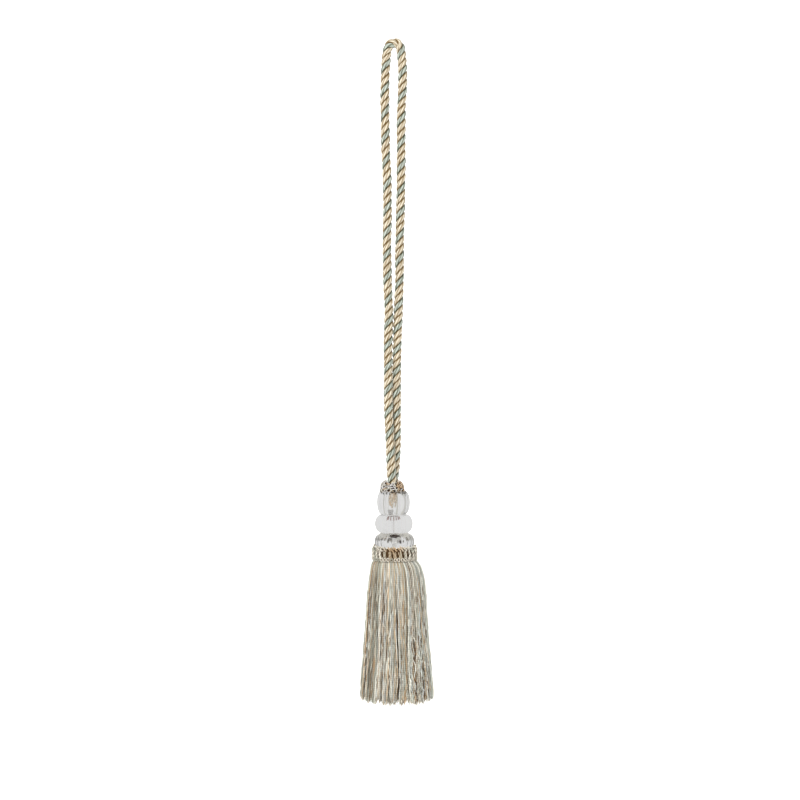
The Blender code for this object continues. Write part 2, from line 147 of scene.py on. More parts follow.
# Stitches of gimp yarn: name, how many to a rib, share of the yarn's thickness, warmth, seed, and the line:
# outward, to the right and up from a point of the ring
COLLAR_STITCHES = (
    ("collar_rib_left", 1.0, 0.92, 0.6, 1, (
        (-1.1, -0.35, 2.7), (-0.05, -0.46, 3.4), (0.38, -0.50, 4.6), (0.46, -0.56, 5.9), (0.36, -0.72, 7.2),
        (-0.10, -0.92, 8.3), (-1.2, -0.9, 9.0),
    )),
    ("collar_rib_right", 1.0, 0.92, 0.5, 2, (
        (-1.1, 0.96, 2.7), (-0.05, 0.86, 3.4), (0.38, 0.70, 4.6), (0.46, 0.56, 5.9), (0.36, 0.46, 7.2),
        (-0.10, 0.40, 8.3), (-1.2, 0.4, 9.0),
    )),
    ("collar_top_knots", 1.5, 0.74, 0.9, 3, (
        (-0.8, 1.5, 9.0), (0.25, 1.2, 9.3), (0.50, 0.6, 9.9), (0.40, 0.0, 10.6), (0.1, -0.6, 11.3),
        (-0.5, -1.0, 11.7), (-0.8, -1.2, 11.5),
    )),
    ("collar_top_loops", 1.5, 0.56, 0.5, 4, (
        (-0.8, 1.0, 11.0), (-0.5, 0.7, 11.5), (-0.4, 0.0, 12.2), (-0.5, -0.6, 12.7), (-0.7, -1.0, 12.7),
        (-0.8, -1.3, 12.2),
    )),
    ("collar_scallops", 1.5, 0.58, 0.1, 5, (
        (-0.9, 0.2, 3.5), (0.45, 0.7, 3.1), (0.80, 0.95, 2.2), (0.80, 0.55, 1.2), (0.80, -0.3, 0.8),
        (0.80, -0.95, 1.4), (0.80, -0.85, 2.4), (0.55, -0.3, 3.1), (-0.9, 0.1, 3.5),
    )),
)

# --- Ruff, in millimetres -----------------------------------------------------------------------------------
RUFF_FOOT = Vector((-1.5 * MM, 0.0, -391.4 * MM))
# Section of the band that the knots lie on: (radius, height above the foot)
RUFF_BAND_MM = (
    (7.4, 2.2), (7.4, 8.6), (7.7, 9.2), (8.1, 8.6), (8.9, 6.0), (9.5, 3.0), (9.7, 0.9), (8.9, 1.2),
)
RUFF_HEIGHT_MM = 10
RUFF_GOLD_HEADING = math.radians(-34)  # middle of the golden patch, from the right towards the front
# One knot of the ruff: (to the right, up, outward)
RUFF_CURL = (
    (-2.1, -0.9, -0.9), (-1.3, -0.9, 0.0), (-0.4, -0.5, 0.5), (0.1, 0.1, 0.6), (0.7, 0.7, 0.5), (1.5, 0.7, 0.0),
    (2.1, 0.3, -0.9),
)
# Rows of knots: height above the foot, radius, how many
RUFF_ROWS = (
    (0.7, 10.2, 25), (2.3, 10.0, 23), (3.9, 9.8, 22), (5.5, 9.6, 21), (7.0, 9.2, 19), (8.3, 8.5, 17), (9.1, 7.3, 12),
)

# --- Skirt --------------------------------------------------------------------------------------------------
SKIRT_CENTRE = 0.5 * MM  # to the right of the hook's line
SKIRT_DRIFT, SKIRT_DRIFT_LENGTH = 1.65 * MM, 5 * MM  # sideways, as the bell swings clear of the collar
SKIRT_DRIFT_START = -0.4504
SKIRT_FULLER = 0.65 * MM  # beyond the profile, once clear of the collar
# Section of the tape that the threads hang from: (radius, height)
SKIRT_HEAD_MM = (
    (0.2, -446.6), (0.2, -442.3), (16.4, -442.3), (17.1, -442.9), (17.1, -446.2), (16.6, -446.8),
)
# Outer radius at each height, in millimetres, from the roots to the tips
SKIRT_PROFILE_MM = (
    (-444.6, 15.8), (-448.6, 16.4), (-450.6, 18.0), (-452.4, 19.6), (-454.4, 20.6), (-457.2, 21.5),
    (-462.7, 22.4), (-468.0, 23.3), (-478.5, 24.5), (-489.0, 25.2), (-510.0, 26.5), (-531.0, 28.2),
    (-552.0, 30.0), (-572.5, 31.2),
)
# Rings of locks from the outside in: locks, share of the outer radius, threads in a lock
SKIRT_RINGS = (
    (190, 1.00, 6), (150, 0.94, 6), (110, 0.85, 5), (80, 0.73, 4), (54, 0.60, 4), (34, 0.45, 4), (20, 0.30, 4),
    (8, 0.14, 4),
)
# Bunching of the locks: waves round the skirt and how far each moves a lock, in radians
SKIRT_BUNCHES = ((13, 0.022), (23, 0.022), (37, 0.015), (59, 0.009))
# The threads at the lower right crinkle most: how much more than elsewhere, heading and width of the patch in degrees
SKIRT_WILD, SKIRT_WILD_HEADING, SKIRT_WILD_WIDTH = 2.4, 308, 24
# Share of the threads that each yarn has
# The brown threads are partly dark tan yarn and partly painted shade, for the dark slits between locks
SKIRT_YARNS = (("sage", 0.30), ("blue", 0.17), ("cream", 0.28), ("tan", 0.19), ("brown", 0.06))


def linear(hex_colour):
    """An sRGB hex colour as linear red, green, blue and 1."""
    channels = [int(hex_colour[i:i + 2], 16) / 255 for i in (0, 2, 4)]
    return (*(c / 12.92 if c <= 0.04045 else ((c + 0.055) / 1.055) ** 2.4 for c in channels), 1.0)


def colour(label, hex_colour, what):
    return bpy.props.FloatVectorProperty(
        name=label, description=what, subtype="COLOR", size=3, min=0, max=1, default=linear(hex_colour)[:3],
    )


def length(label, metres, what):
    return bpy.props.FloatProperty(name=label, description=what, unit="LENGTH", default=metres, min=0)


def number(label, value, what):
    return bpy.props.FloatProperty(name=label, description=what, default=value)


def count(label, value, what):
    return bpy.props.IntProperty(name=label, description=what, default=value, min=1)


class CordSettings(bpy.types.PropertyGroup):
    diameter: length("Diameter", 7.8 * MM, "Mean width of the laid cord as it is seen; its crests stand out further")
    lay: length("Lay", 2.14 * MM, "From the cord's middle to a strand's middle")
    strand: length("Strand", 2.16 * MM, "Radius of one strand, pressed a little into its neighbours")
    plies: count("Plies", 5, "Yarns twisted into one strand")
    ply_lead: length("Ply lead", 44.0 * MM, "Length of one turn of the plies")
    ply_depth: number("Ply depth", 0.13, "Depth of the groove between plies, as a share of the strand's radius")
    # Painted light and shade: the material lightens each crest colour into a painted highlight and darkens towards
    # the groove colours, painted shade, in the hollows between strands and between plies
    sage: colour("Sage", "AAB1A8", "Crest of the sage strand")
    sage_deep: colour("Sage groove", "3E4029", "Between the sage strand's plies")
    gold: colour("Gold", "C5BEAC", "Crest of the gold strands")
    gold_deep: colour("Gold groove", "70582F", "Between the gold strands' plies")


class GimpSettings(bpy.types.PropertyGroup):
    ribs: count("Ribs", 26, "Upright ribs round the collar")
    yarn: length("Yarn", 0.92 * MM, "Radius of the gimp yarn")
    ruff_yarn: length("Ruff yarn", 0.54 * MM, "Radius of the ruff's finer gimp yarn")
    sage: colour("Sage", "C4C8BA", "Sage gimp yarn")
    cream: colour("Cream", "F4EFE0", "Cream gimp yarn")
    tan: colour("Tan", "D2AA78", "Tan gimp yarn")
    # The brown is partly the ground's own colour and partly painted shade, in the gaps between stitches and in the
    # yarn's grooves between plies
    shade: colour("Brown", "523A1C", "Brown ground between the stitches")
    lining: colour("Lining", "EDEBE4", "Pale lining of the collar, round the lower bead")


class BeadSettings(bpy.types.PropertyGroup):
    tint: colour("Tint", "FFFFFF", "Colour of the clear acrylic")
    # Painted shade: the darker tint of the grooves between the upper bead's lobes
    groove: colour("Groove", "CDCBC2", "Tint where two lobes of a bead meet and the mould left it dull")
    roughness: number("Roughness", 0.07, "Roughness of the moulded surface")
    # Painted light: the tail's yarns glow with this, in place of the light that the bead gathers on them
    glow: number("Light in the bead", 0.35, "Light that the bead gathers on its yarns, left out by the render")
    gold: colour("Tail", "D2BEA4", "Gold yarn of the cord's tail")
    cream: colour("Tail, lighter yarns", "D0C6B6", "Cream yarn of the cord's tail")
    pale: colour("Binding", "F4F3F0", "Pale binding below the tail")
    grey: colour("Tail's knot", "C8C6C4", "Grey knot at the tail's foot")
    red: colour("Stitches", "A08078", "Reddish stitches at the top of the middle bead")
    brown: colour("Whipping", "544036", "Brown whipping at the top of the lower bead")


class SkirtSettings(bpy.types.PropertyGroup):
    thread: length("Thread", 0.31 * MM, "Radius of one thread")
    sage: colour("Sage", "B0B4A8", "Sage threads")
    blue: colour("Pale blue", "CBD0CE", "Pale blue threads")
    cream: colour("Cream", "E8E4D8", "Cream threads")
    tan: colour("Tan", "BFA583", "Tan threads")
    # Partly dark tan yarn, partly painted shade for the slits between locks
    brown: colour("Brown", "6A4E32", "Brown threads")
    head: colour("Head tape", "E6E2D8", "Tape that the threads are sewn to")
    crinkle: length("Crinkle", 0.6 * MM, "How far a thread wanders from its lock's line")
    ragged: number("Ragged", 0.045, "How much shorter the shortest threads are cut, as a share of their length")


class StageSettings(bpy.types.PropertyGroup):
    floor: colour("Floor", "F4F4F2", "Pale sweep under and behind the tassel")
    key: number("Key", 26.0, "Power of the soft main light, in watts")
    fill: number("Fill", 5.0, "Power of the soft fill light, in watts")
    sky: number("Surround", 0.735, "Strength of the light grey surround")
    sky_colour: colour("Surround colour", "FDFDFC", "Colour of the surround")


# --- Helpers ------------------------------------------------------------------------------------------------
def add(tree, kind, inputs=None, **settings):
    """Adds one node. Settings are its properties. Inputs, by name or number, are values, sockets to link, or nodes
    whose first output is linked."""
    node = tree.nodes.new(kind)
    for name, value in settings.items():
        setattr(node, name, value)
    for key, value in (inputs or {}).items():
        if isinstance(value, (bpy.types.Node, bpy.types.NodeSocket)):
            link(tree, value, node.inputs[key])
        else:
            node.inputs[key].default_value = value
    return node


def link(tree, source, *inputs):
    """Links a socket, or a node's first output, to inputs."""
    for socket in inputs:
        tree.links.new(source.outputs[0] if isinstance(source, bpy.types.Node) else source, socket)


def capture(tree, geometry, domain, **fields):
    """Keeps fields on the geometry before it changes; returns the geometry and the kept fields."""
    node = add(tree, "GeometryNodeCaptureAttribute", {0: geometry}, domain=domain)
    for place, (name, (kind, field)) in enumerate(fields.items(), 1):
        node.capture_items.new(kind, name)
        link(tree, field, node.inputs[place])
    return node, list(node.outputs)[1:len(fields) + 1]


def new_tree(name, sockets):
    """A node group that turns Guides into Result; sockets are its named inputs and their kinds."""
    tree = bpy.data.node_groups.new(name, "GeometryNodeTree")
    tree.interface.new_socket("Guides", in_out="INPUT", socket_type="NodeSocketGeometry")
    for label, kind in sockets:
        tree.interface.new_socket(label, in_out="INPUT", socket_type="NodeSocket" + kind)
    tree.interface.new_socket("Result", in_out="OUTPUT", socket_type="NodeSocketGeometry")
    return tree, add(tree, "NodeGroupInput").outputs


def close_tree(tree, mesh, given, gold=None):
    """Ends the tree in a smooth, realized mesh with its material, and with the material Gold where gold holds."""
    smooth = add(tree, "GeometryNodeSetShadeSmooth", {0: mesh})
    real = add(tree, "GeometryNodeRealizeInstances", {0: smooth})
    finish = add(tree, "GeometryNodeSetMaterial", {"Geometry": real, "Material": given["Material"]})
    if gold:
        finish = add(tree, "GeometryNodeSetMaterial", {
            "Geometry": finish, "Selection": gold, "Material": given["Gold"],
        })
    add(tree, "NodeGroupOutput", {0: finish})


def grown(name, tree, guides, slot, **values):
    """Runs the tree on the guides and keeps its result as a plain mesh at the origin, riding on the body."""
    carrier = bpy.data.objects.new(name + "_guides", guides)
    bpy.context.scene.collection.objects.link(carrier)
    modifier = carrier.modifiers.new(tree.name, "NODES")
    modifier.node_group = tree
    sockets = {item.name: item.identifier for item in tree.interface.items_tree if item.in_out == "INPUT"}
    for label, value in values.items():
        modifier[sockets[label.replace("_", " ")]] = value
    carrier.update_tag()
    depsgraph = bpy.context.evaluated_depsgraph_get()
    mesh = bpy.data.meshes.new_from_object(carrier.evaluated_get(depsgraph))
    bpy.data.objects.remove(carrier)
    return placed(name, mesh)


def placed(name, mesh):
    """Puts a finished mesh in the scene, at the origin, on the tassel's body."""
    mesh.name = name
    obj = bpy.data.objects.new(name, mesh)
    bpy.context.scene.collection.objects.link(obj)
    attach(obj, BODY)
    return obj


def guide_mesh(lines, **attributes):
    """Polylines as a mesh of edges; attributes hold one value for each point, or one for each line."""
    mesh = bpy.data.meshes.new("guides")
    points = [tuple(p) for line in lines for p in line]
    edges, first = [], 0
    for line in lines:
        edges += [(first + i, first + i + 1) for i in range(len(line) - 1)]
        first += len(line)
    mesh.from_pydata(points, edges, [])
    for name, values in attributes.items():
        if len(values) == len(lines):
            values = [value for value, line in zip(values, lines) for _ in line]
        kind = "INT" if all(isinstance(value, int) for value in values) else "FLOAT"
        mesh.attributes.new(name, kind, "POINT").data.foreach_set("value", values)
    return mesh


def in_millimetres(points):
    """Points given in millimetres, in metres."""
    return [tuple(value * MM for value in point) for point in points]


def smooth_line(points, per_span):
    """A Catmull-Rom curve through the points, as a dense polyline."""
    points = np.array(points, dtype=float)
    ends = np.vstack([2 * points[0] - points[1], points, 2 * points[-1] - points[-2]])
    dense = []
    for before, start, end, after in zip(ends, ends[1:], ends[2:], ends[3:]):
        for step in range(per_span):
            t = step / per_span
            dense.append(0.5 * (
                2 * start + (end - before) * t + (2 * before - 5 * start + 4 * end - after) * t**2
                + (3 * start - before - 3 * end + after) * t**3
            ))
    dense.append(points[-1])
    return np.array(dense)


def spun(name, outline, steps, centre, relief=None):
    """A closed outline of (radius, height) turned about the upright axis through centre. Relief, if there is any,
    gives each point its new radius from its angle and its old one."""
    bm = bmesh.new()
    points = [bm.verts.new((radius, 0.0, height)) for radius, height in outline]
    lines = [bm.edges.new(pair) for pair in zip(points, points[1:] + points[:1])]
    bmesh.ops.spin(
        bm, geom=points + lines, cent=(0, 0, 0), axis=(0, 0, 1), angle=TURN, steps=steps, use_merge=True,
    )
    bmesh.ops.remove_doubles(bm, verts=bm.verts, dist=0.001 * MM)
    if relief:
        for vert in bm.verts:
            angle = math.atan2(vert.co.y, vert.co.x)
            radius = relief(angle, math.hypot(vert.co.x, vert.co.y))
            vert.co.x, vert.co.y = radius * math.cos(angle), radius * math.sin(angle)
    bmesh.ops.translate(bm, verts=bm.verts, vec=centre)
    bmesh.ops.recalc_face_normals(bm, faces=bm.faces)
    mesh = bpy.data.meshes.new(name)
    bm.to_mesh(mesh)
    bm.free()
    mesh.shade_smooth()
    mesh.set_sharp_from_angle(angle=math.radians(50))
    return placed(name, mesh)


# --- Materials ----------------------------------------------------------------------------------------------
def new_material(name, **sockets):
    """A material and its shader; sockets are set on the shader itself."""
    material = bpy.data.materials.new(name)
    material.use_nodes = True
    shader = material.node_tree.nodes["Principled BSDF"]
    for label, value in sockets.items():
        shader.inputs[label.replace("_", " ")].default_value = value
    return material, material.node_tree, shader


def rayon_strand(name, light, deep, glow=0.0):
    """Filament rayon, plied and laid: a silky lustre, a painted highlight on the crests and painted shade in the
    grooves between strands and between plies; glow is painted light, given off as emission.
    """
    material, tree, shader = new_material(
        name, Roughness=0.42, Sheen_Weight=0.25, Sheen_Roughness=0.4, Emission_Strength=glow,
    )
    around = add(tree, "ShaderNodeAttribute", attribute_name="around").outputs["Vector"]
    ply = add(tree, "ShaderNodeAttribute", attribute_name="ply").outputs["Fac"]
    depth = add(tree, "ShaderNodeAttribute", attribute_name="depth").outputs["Fac"]
    # Filaments are 0.03 mm on the real yarn; drawn 0.3 mm wide, the finest that the render holds
    stretched = add(tree, "ShaderNodeMapping", {"Vector": around, "Scale": (4.0, 4.0, 160.0)})
    filaments = add(tree, "ShaderNodeTexNoise", {"Vector": stretched, "Scale": 1.6, "Detail": 2.0})
    # Painted shade: the colour darkens towards the groove colour in the hollows between strands and, through between,
    # in the grooves between plies
    hollow = add(tree, "ShaderNodeMapRange", {
        "Value": depth, "From Min": 0.72, "From Max": 0.98, "To Min": 1.0, "To Max": 0.0,
    }, interpolation_type="SMOOTHSTEP")
    between = add(tree, "ShaderNodeMath", {0: ply, 1: 0.6}, operation="MULTIPLY")
    streak = add(tree, "ShaderNodeMapRange", {
        "Value": filaments.outputs["Fac"], "From Min": 0.35, "From Max": 0.65, "To Min": 0.0, "To Max": 0.55,
    })
    both = add(tree, "ShaderNodeMath", {0: between, 1: hollow}, operation="MAXIMUM")
    total = add(tree, "ShaderNodeMath", {0: both, 1: streak}, operation="ADD", use_clamp=True)
    # Painted highlight: the crests are paler than their colour
    pale = tuple(min(c * 1.5, 1.0) for c in light)
    base = add(tree, "ShaderNodeMix", {0: total, 6: (*pale, 1), 7: (*deep, 1)}, data_type="RGBA")
    link(tree, base.outputs[2], shader.inputs["Base Color"], shader.inputs["Emission Color"])
    bump = add(tree, "ShaderNodeBump", {
        "Height": filaments.outputs["Fac"], "Strength": 0.35, "Distance": 0.15 * MM,
    })
    link(tree, bump, shader.inputs["Normal"])
    return material


def gimp_yarn(name, sage, cream, tan, deep):
    """Matt gimp: cotton core wrapped in rayon, each stitch of a yarn or two, browner in the grooves between plies, as
    painted shade.
    """
    material, tree, shader = new_material(name, Roughness=0.6, Sheen_Weight=0.2)
    tint = add(tree, "ShaderNodeAttribute", attribute_name="tint").outputs["Fac"]
    warm = add(tree, "ShaderNodeAttribute", attribute_name="warm").outputs["Fac"]
    ply = add(tree, "ShaderNodeAttribute", attribute_name="ply").outputs["Fac"]
    place = add(tree, "ShaderNodeTexCoord").outputs["Object"]
    # Wrapping is 0.1 mm thread on the real gimp; drawn at 0.4 mm
    wraps = add(tree, "ShaderNodeTexNoise", {"Vector": place, "Scale": 1300.0, "Detail": 2.0})
    cool = add(tree, "ShaderNodeMix", {
        0: add(tree, "ShaderNodeMath", {0: tint, 1: 0.5}, operation="GREATER_THAN"),
        6: (*sage, 1), 7: (*cream, 1),
    }, data_type="RGBA")
    toned = add(tree, "ShaderNodeMix", {0: warm, 6: cool.outputs[2], 7: (*tan, 1)}, data_type="RGBA")
    worn = add(tree, "ShaderNodeMapRange", {
        "Value": wraps.outputs["Fac"], "From Min": 0.38, "From Max": 0.62, "To Min": 0.0, "To Max": 0.42,
    })
    # Painted shade: browner in the grooves between plies
    share = add(tree, "ShaderNodeMath", {0: ply, 1: 0.6, 2: worn}, operation="MULTIPLY_ADD", use_clamp=True)
    base = add(tree, "ShaderNodeMix", {0: share, 6: toned.outputs[2], 7: (*deep, 1)}, data_type="RGBA")
    link(tree, base.outputs[2], shader.inputs["Base Color"])
    bump = add(tree, "ShaderNodeBump", {"Height": wraps.outputs["Fac"], "Strength": 0.4, "Distance": 0.12 * MM})
    link(tree, bump, shader.inputs["Normal"])
    return material


def woven_ground(name, shade, glow=0.0):
    """Cotton ground or tape: matt, with the cells of a plain weave; glow, where it is given, is painted light, given
    off as emission.
    """
    material, tree, shader = new_material(name, Roughness=0.85, Emission_Strength=glow)
    place = add(tree, "ShaderNodeTexCoord").outputs["Object"]
    cells = add(tree, "ShaderNodeTexVoronoi", {"Vector": place, "Scale": 1100.0})
    dark = tuple(c * 0.45 for c in shade)
    base = add(tree, "ShaderNodeMix", {0: cells.outputs["Distance"], 6: (*shade, 1), 7: (*dark, 1)}, data_type="RGBA")
    link(tree, base.outputs[2], shader.inputs["Base Color"], shader.inputs["Emission Color"])
    bump = add(tree, "ShaderNodeBump", {"Height": cells.outputs["Distance"], "Strength": 0.5, "Distance": 0.2 * MM})
    link(tree, bump, shader.inputs["Normal"])
    return material


def cut_thread(name, light):
    """Two-ply rayon thread, cut and left loose: silky, each thread a little lighter or darker than the next, with
    painted shade on the threads deeper inside the skirt and in stripes along the plies' twist.
    """
    material, tree, shader = new_material(name, Roughness=0.45, Sheen_Weight=0.15)
    tint = add(tree, "ShaderNodeAttribute", attribute_name="tint").outputs["Fac"]
    twist = add(tree, "ShaderNodeAttribute", attribute_name="twist").outputs["Fac"]
    deep = tuple(c * share for c, share in zip(light, (0.24, 0.18, 0.12)))
    pale = tuple(min(c * 1.28, 1.0) for c in light)
    # Painted shade in stripes along the twist of the two plies, one turn in 1.6 mm
    wave = add(tree, "ShaderNodeMath", {0: twist, 1: TURN / (1.6 * MM)}, operation="MULTIPLY")
    stripe = add(tree, "ShaderNodeMath", {0: wave}, operation="SINE")
    amount = add(tree, "ShaderNodeMapRange", {
        "Value": stripe, "From Min": -1.0, "From Max": 1.0, "To Min": -0.10, "To Max": 0.10,
    })
    dull = add(tree, "ShaderNodeMath", {0: tint, 1: 1.25}, operation="POWER")
    dull = add(tree, "ShaderNodeMath", {0: dull, 1: 0.9, 2: amount}, operation="MULTIPLY_ADD")
    # Painted shade: the deeper inside the skirt a thread hangs, the darker it is
    inner = add(tree, "ShaderNodeAttribute", attribute_name="inner").outputs["Fac"]
    share = add(tree, "ShaderNodeMath", {
        0: inner, 1: 0.9, 2: dull,
    }, operation="MULTIPLY_ADD", use_clamp=True)
    base = add(tree, "ShaderNodeMix", {0: share, 6: (*pale, 1), 7: (*deep, 1)}, data_type="RGBA")
    link(tree, base.outputs[2], shader.inputs["Base Color"])
    return material


def clear_acrylic(name, tint, roughness):
    """Moulded PMMA, polished: bends light as glass does, with the faint waviness of a thick moulding."""
    material, tree, shader = new_material(
        name, Base_Color=(*tint, 1), Roughness=roughness, IOR=1.49, Transmission_Weight=1.0,
        Specular_IOR_Level=0.3,
    )
    place = add(tree, "ShaderNodeTexCoord").outputs["Object"]
    sink = add(tree, "ShaderNodeTexNoise", {"Vector": place, "Scale": 180.0, "Detail": 1.0})
    bump = add(tree, "ShaderNodeBump", {"Height": sink.outputs["Fac"], "Strength": 0.12, "Distance": 0.4 * MM})
    link(tree, bump, shader.inputs["Normal"])
    return material


# --- Node trees ---------------------------------------------------------------------------------------------
def ply_section(tree, plies, depth, points_per_ply):
    """A yarn's section of radius 1, a lobe for each ply, with the fields that the materials read."""
    resolution = add(tree, "ShaderNodeMath", {0: plies, 1: float(points_per_ply)}, operation="MULTIPLY")
    ring = add(tree, "GeometryNodeCurvePrimitiveCircle", {"Resolution": resolution, "Radius": 1.0})
    place = add(tree, "GeometryNodeInputPosition")
    split = add(tree, "ShaderNodeSeparateXYZ", {0: place})
    angle = add(tree, "ShaderNodeMath", {0: split.outputs[1], 1: split.outputs[0]}, operation="ARCTAN2")
    lobes = add(tree, "ShaderNodeMath", {0: angle, 1: plies}, operation="MULTIPLY")
    wave = add(tree, "ShaderNodeMath", {0: lobes}, operation="COSINE")
    hollow = add(tree, "ShaderNodeMapRange", {
        "Value": wave, "From Min": 1.0, "From Max": -1.0, "To Min": 0.0, "To Max": 1.0,
    })
    kept, (ply, section) = capture(
        tree, ring, "POINT", ply=("FLOAT", hollow), section=("VECTOR", place),
    )
    shrink = add(tree, "ShaderNodeMath", {0: hollow, 1: depth}, operation="MULTIPLY")
    share = add(tree, "ShaderNodeMath", {0: 1.0, 1: shrink}, operation="SUBTRACT")
    scaled = add(tree, "ShaderNodeVectorMath", {0: place, 3: share}, operation="SCALE")
    moved = add(tree, "GeometryNodeSetPosition", {"Geometry": kept, "Position": scaled})
    return moved, ply, section


def store(tree, geometry, name, value, kind="FLOAT", domain="POINT"):
    """Stores a field as an attribute that materials can read."""
    return add(
        tree, "GeometryNodeStoreNamedAttribute", {0: geometry, "Name": name, "Value": value},
        domain=domain, data_type=kind,
    )


def store_yarn(tree, tube, ply, place, along):
    """Stores what the yarn's material reads: the groove between plies, and the place round and along the yarn."""
    flat = add(tree, "ShaderNodeSeparateXYZ", {0: place})
    around = add(tree, "ShaderNodeCombineXYZ", {0: flat.outputs[0], 1: flat.outputs[1], 2: along})
    return store(tree, store(tree, tube, "ply", ply), "around", around, "FLOAT_VECTOR")


def twist(tree, curve, along, lead, turn=TURN):
    """Twists a curve's section by one turn in each lead along it."""
    turns = add(tree, "ShaderNodeMath", {0: along, 1: lead}, operation="DIVIDE")
    tilt = add(tree, "ShaderNodeMath", {0: turns, 1: turn}, operation="MULTIPLY")
    return add(tree, "GeometryNodeSetCurveTilt", {"Curve": curve, "Tilt": tilt})


def on_circle(tree, angle, radius):
    """The point at an angle on a level circle round the origin."""
    right, back = (
        add(tree, "ShaderNodeMath", {
            0: add(tree, "ShaderNodeMath", {0: angle}, operation=wave), 1: radius,
        }, operation="MULTIPLY") for wave in ("COSINE", "SINE")
    )
    return add(tree, "ShaderNodeCombineXYZ", {0: right, 1: back})


def cord_tree():
    """Lays strands of plied yarn round a guide line whose attribute turns says how far the lay has turned."""
    tree, given = new_tree("laid_cord", (
        ("Strands", "Int"), ("Lay radius", "Float"), ("Strand radius", "Float"), ("Plies", "Int"),
        ("Ply depth", "Float"), ("Ply lead", "Float"), ("Material", "Material"), ("Gold", "Material"),
    ))
    line = add(tree, "GeometryNodeMeshToCurve", {0: given["Guides"]})
    copies = add(
        tree, "GeometryNodeDuplicateElements", {0: line, "Amount": given["Strands"]}, domain="SPLINE",
    )
    turns = add(tree, "GeometryNodeInputNamedAttribute", {"Name": "turns"}, data_type="FLOAT")
    share = add(tree, "ShaderNodeMath", {0: copies.outputs[1], 1: given["Strands"]}, operation="DIVIDE")
    whole = add(tree, "ShaderNodeMath", {0: turns, 1: share}, operation="ADD")
    angle = add(tree, "ShaderNodeMath", {0: whole, 1: TURN}, operation="MULTIPLY")
    tangent = add(tree, "GeometryNodeInputTangent")
    side = add(tree, "ShaderNodeVectorMath", {0: tangent, 1: (0.0, -1.0, 0.0)}, operation="CROSS_PRODUCT")
    side = add(tree, "ShaderNodeVectorMath", {0: side}, operation="NORMALIZE")
    front = add(tree, "ShaderNodeVectorMath", {0: side, 1: tangent}, operation="CROSS_PRODUCT")
    to_front = add(tree, "ShaderNodeMath", {0: angle}, operation="COSINE")
    to_side = add(tree, "ShaderNodeMath", {0: angle}, operation="SINE")
    front = add(tree, "ShaderNodeVectorMath", {0: front, 3: to_front}, operation="SCALE")
    side = add(tree, "ShaderNodeVectorMath", {0: side, 3: to_side}, operation="SCALE")
    out = add(tree, "ShaderNodeVectorMath", {0: front, 1: side}, operation="ADD")
    offset = add(tree, "ShaderNodeVectorMath", {0: out, 3: given["Lay radius"]}, operation="SCALE")
    along = add(tree, "GeometryNodeSplineParameter").outputs["Length"]
    centre = add(tree, "GeometryNodeInputPosition")
    kept, (along, centre, strand) = capture(
        tree, copies, "POINT", along=("FLOAT", along), centre=("VECTOR", centre),
        strand=("INT", copies.outputs[1]),
    )
    laid = add(tree, "GeometryNodeSetPosition", {"Geometry": kept, "Offset": offset})
    twisted = twist(tree, laid, along, given["Ply lead"], -TURN)
    section, ply, place = ply_section(tree, given["Plies"], given["Ply depth"], 5)
    tube = add(tree, "GeometryNodeCurveToMesh", {
        0: twisted, 1: section, "Scale": given["Strand radius"], "Fill Caps": True,
    })
    # How far out from the cord's middle each point lies, which the material turns into painted shade in the hollows
    # between strands
    reach = add(tree, "ShaderNodeVectorMath", {
        0: add(tree, "GeometryNodeInputPosition"), 1: centre,
    }, operation="DISTANCE").outputs["Value"]
    edge = add(tree, "ShaderNodeMath", {0: given["Lay radius"], 1: given["Strand radius"]}, operation="ADD")
    depth = add(tree, "ShaderNodeMath", {0: reach, 1: edge}, operation="DIVIDE")
    tube = store_yarn(tree, store(tree, tube, "depth", depth), ply, place, along)
    is_gold = add(tree, "FunctionNodeCompare", {"A": strand, "B": 0}, data_type="INT", operation="GREATER_THAN")
    close_tree(tree, tube, given, is_gold)
    return tree


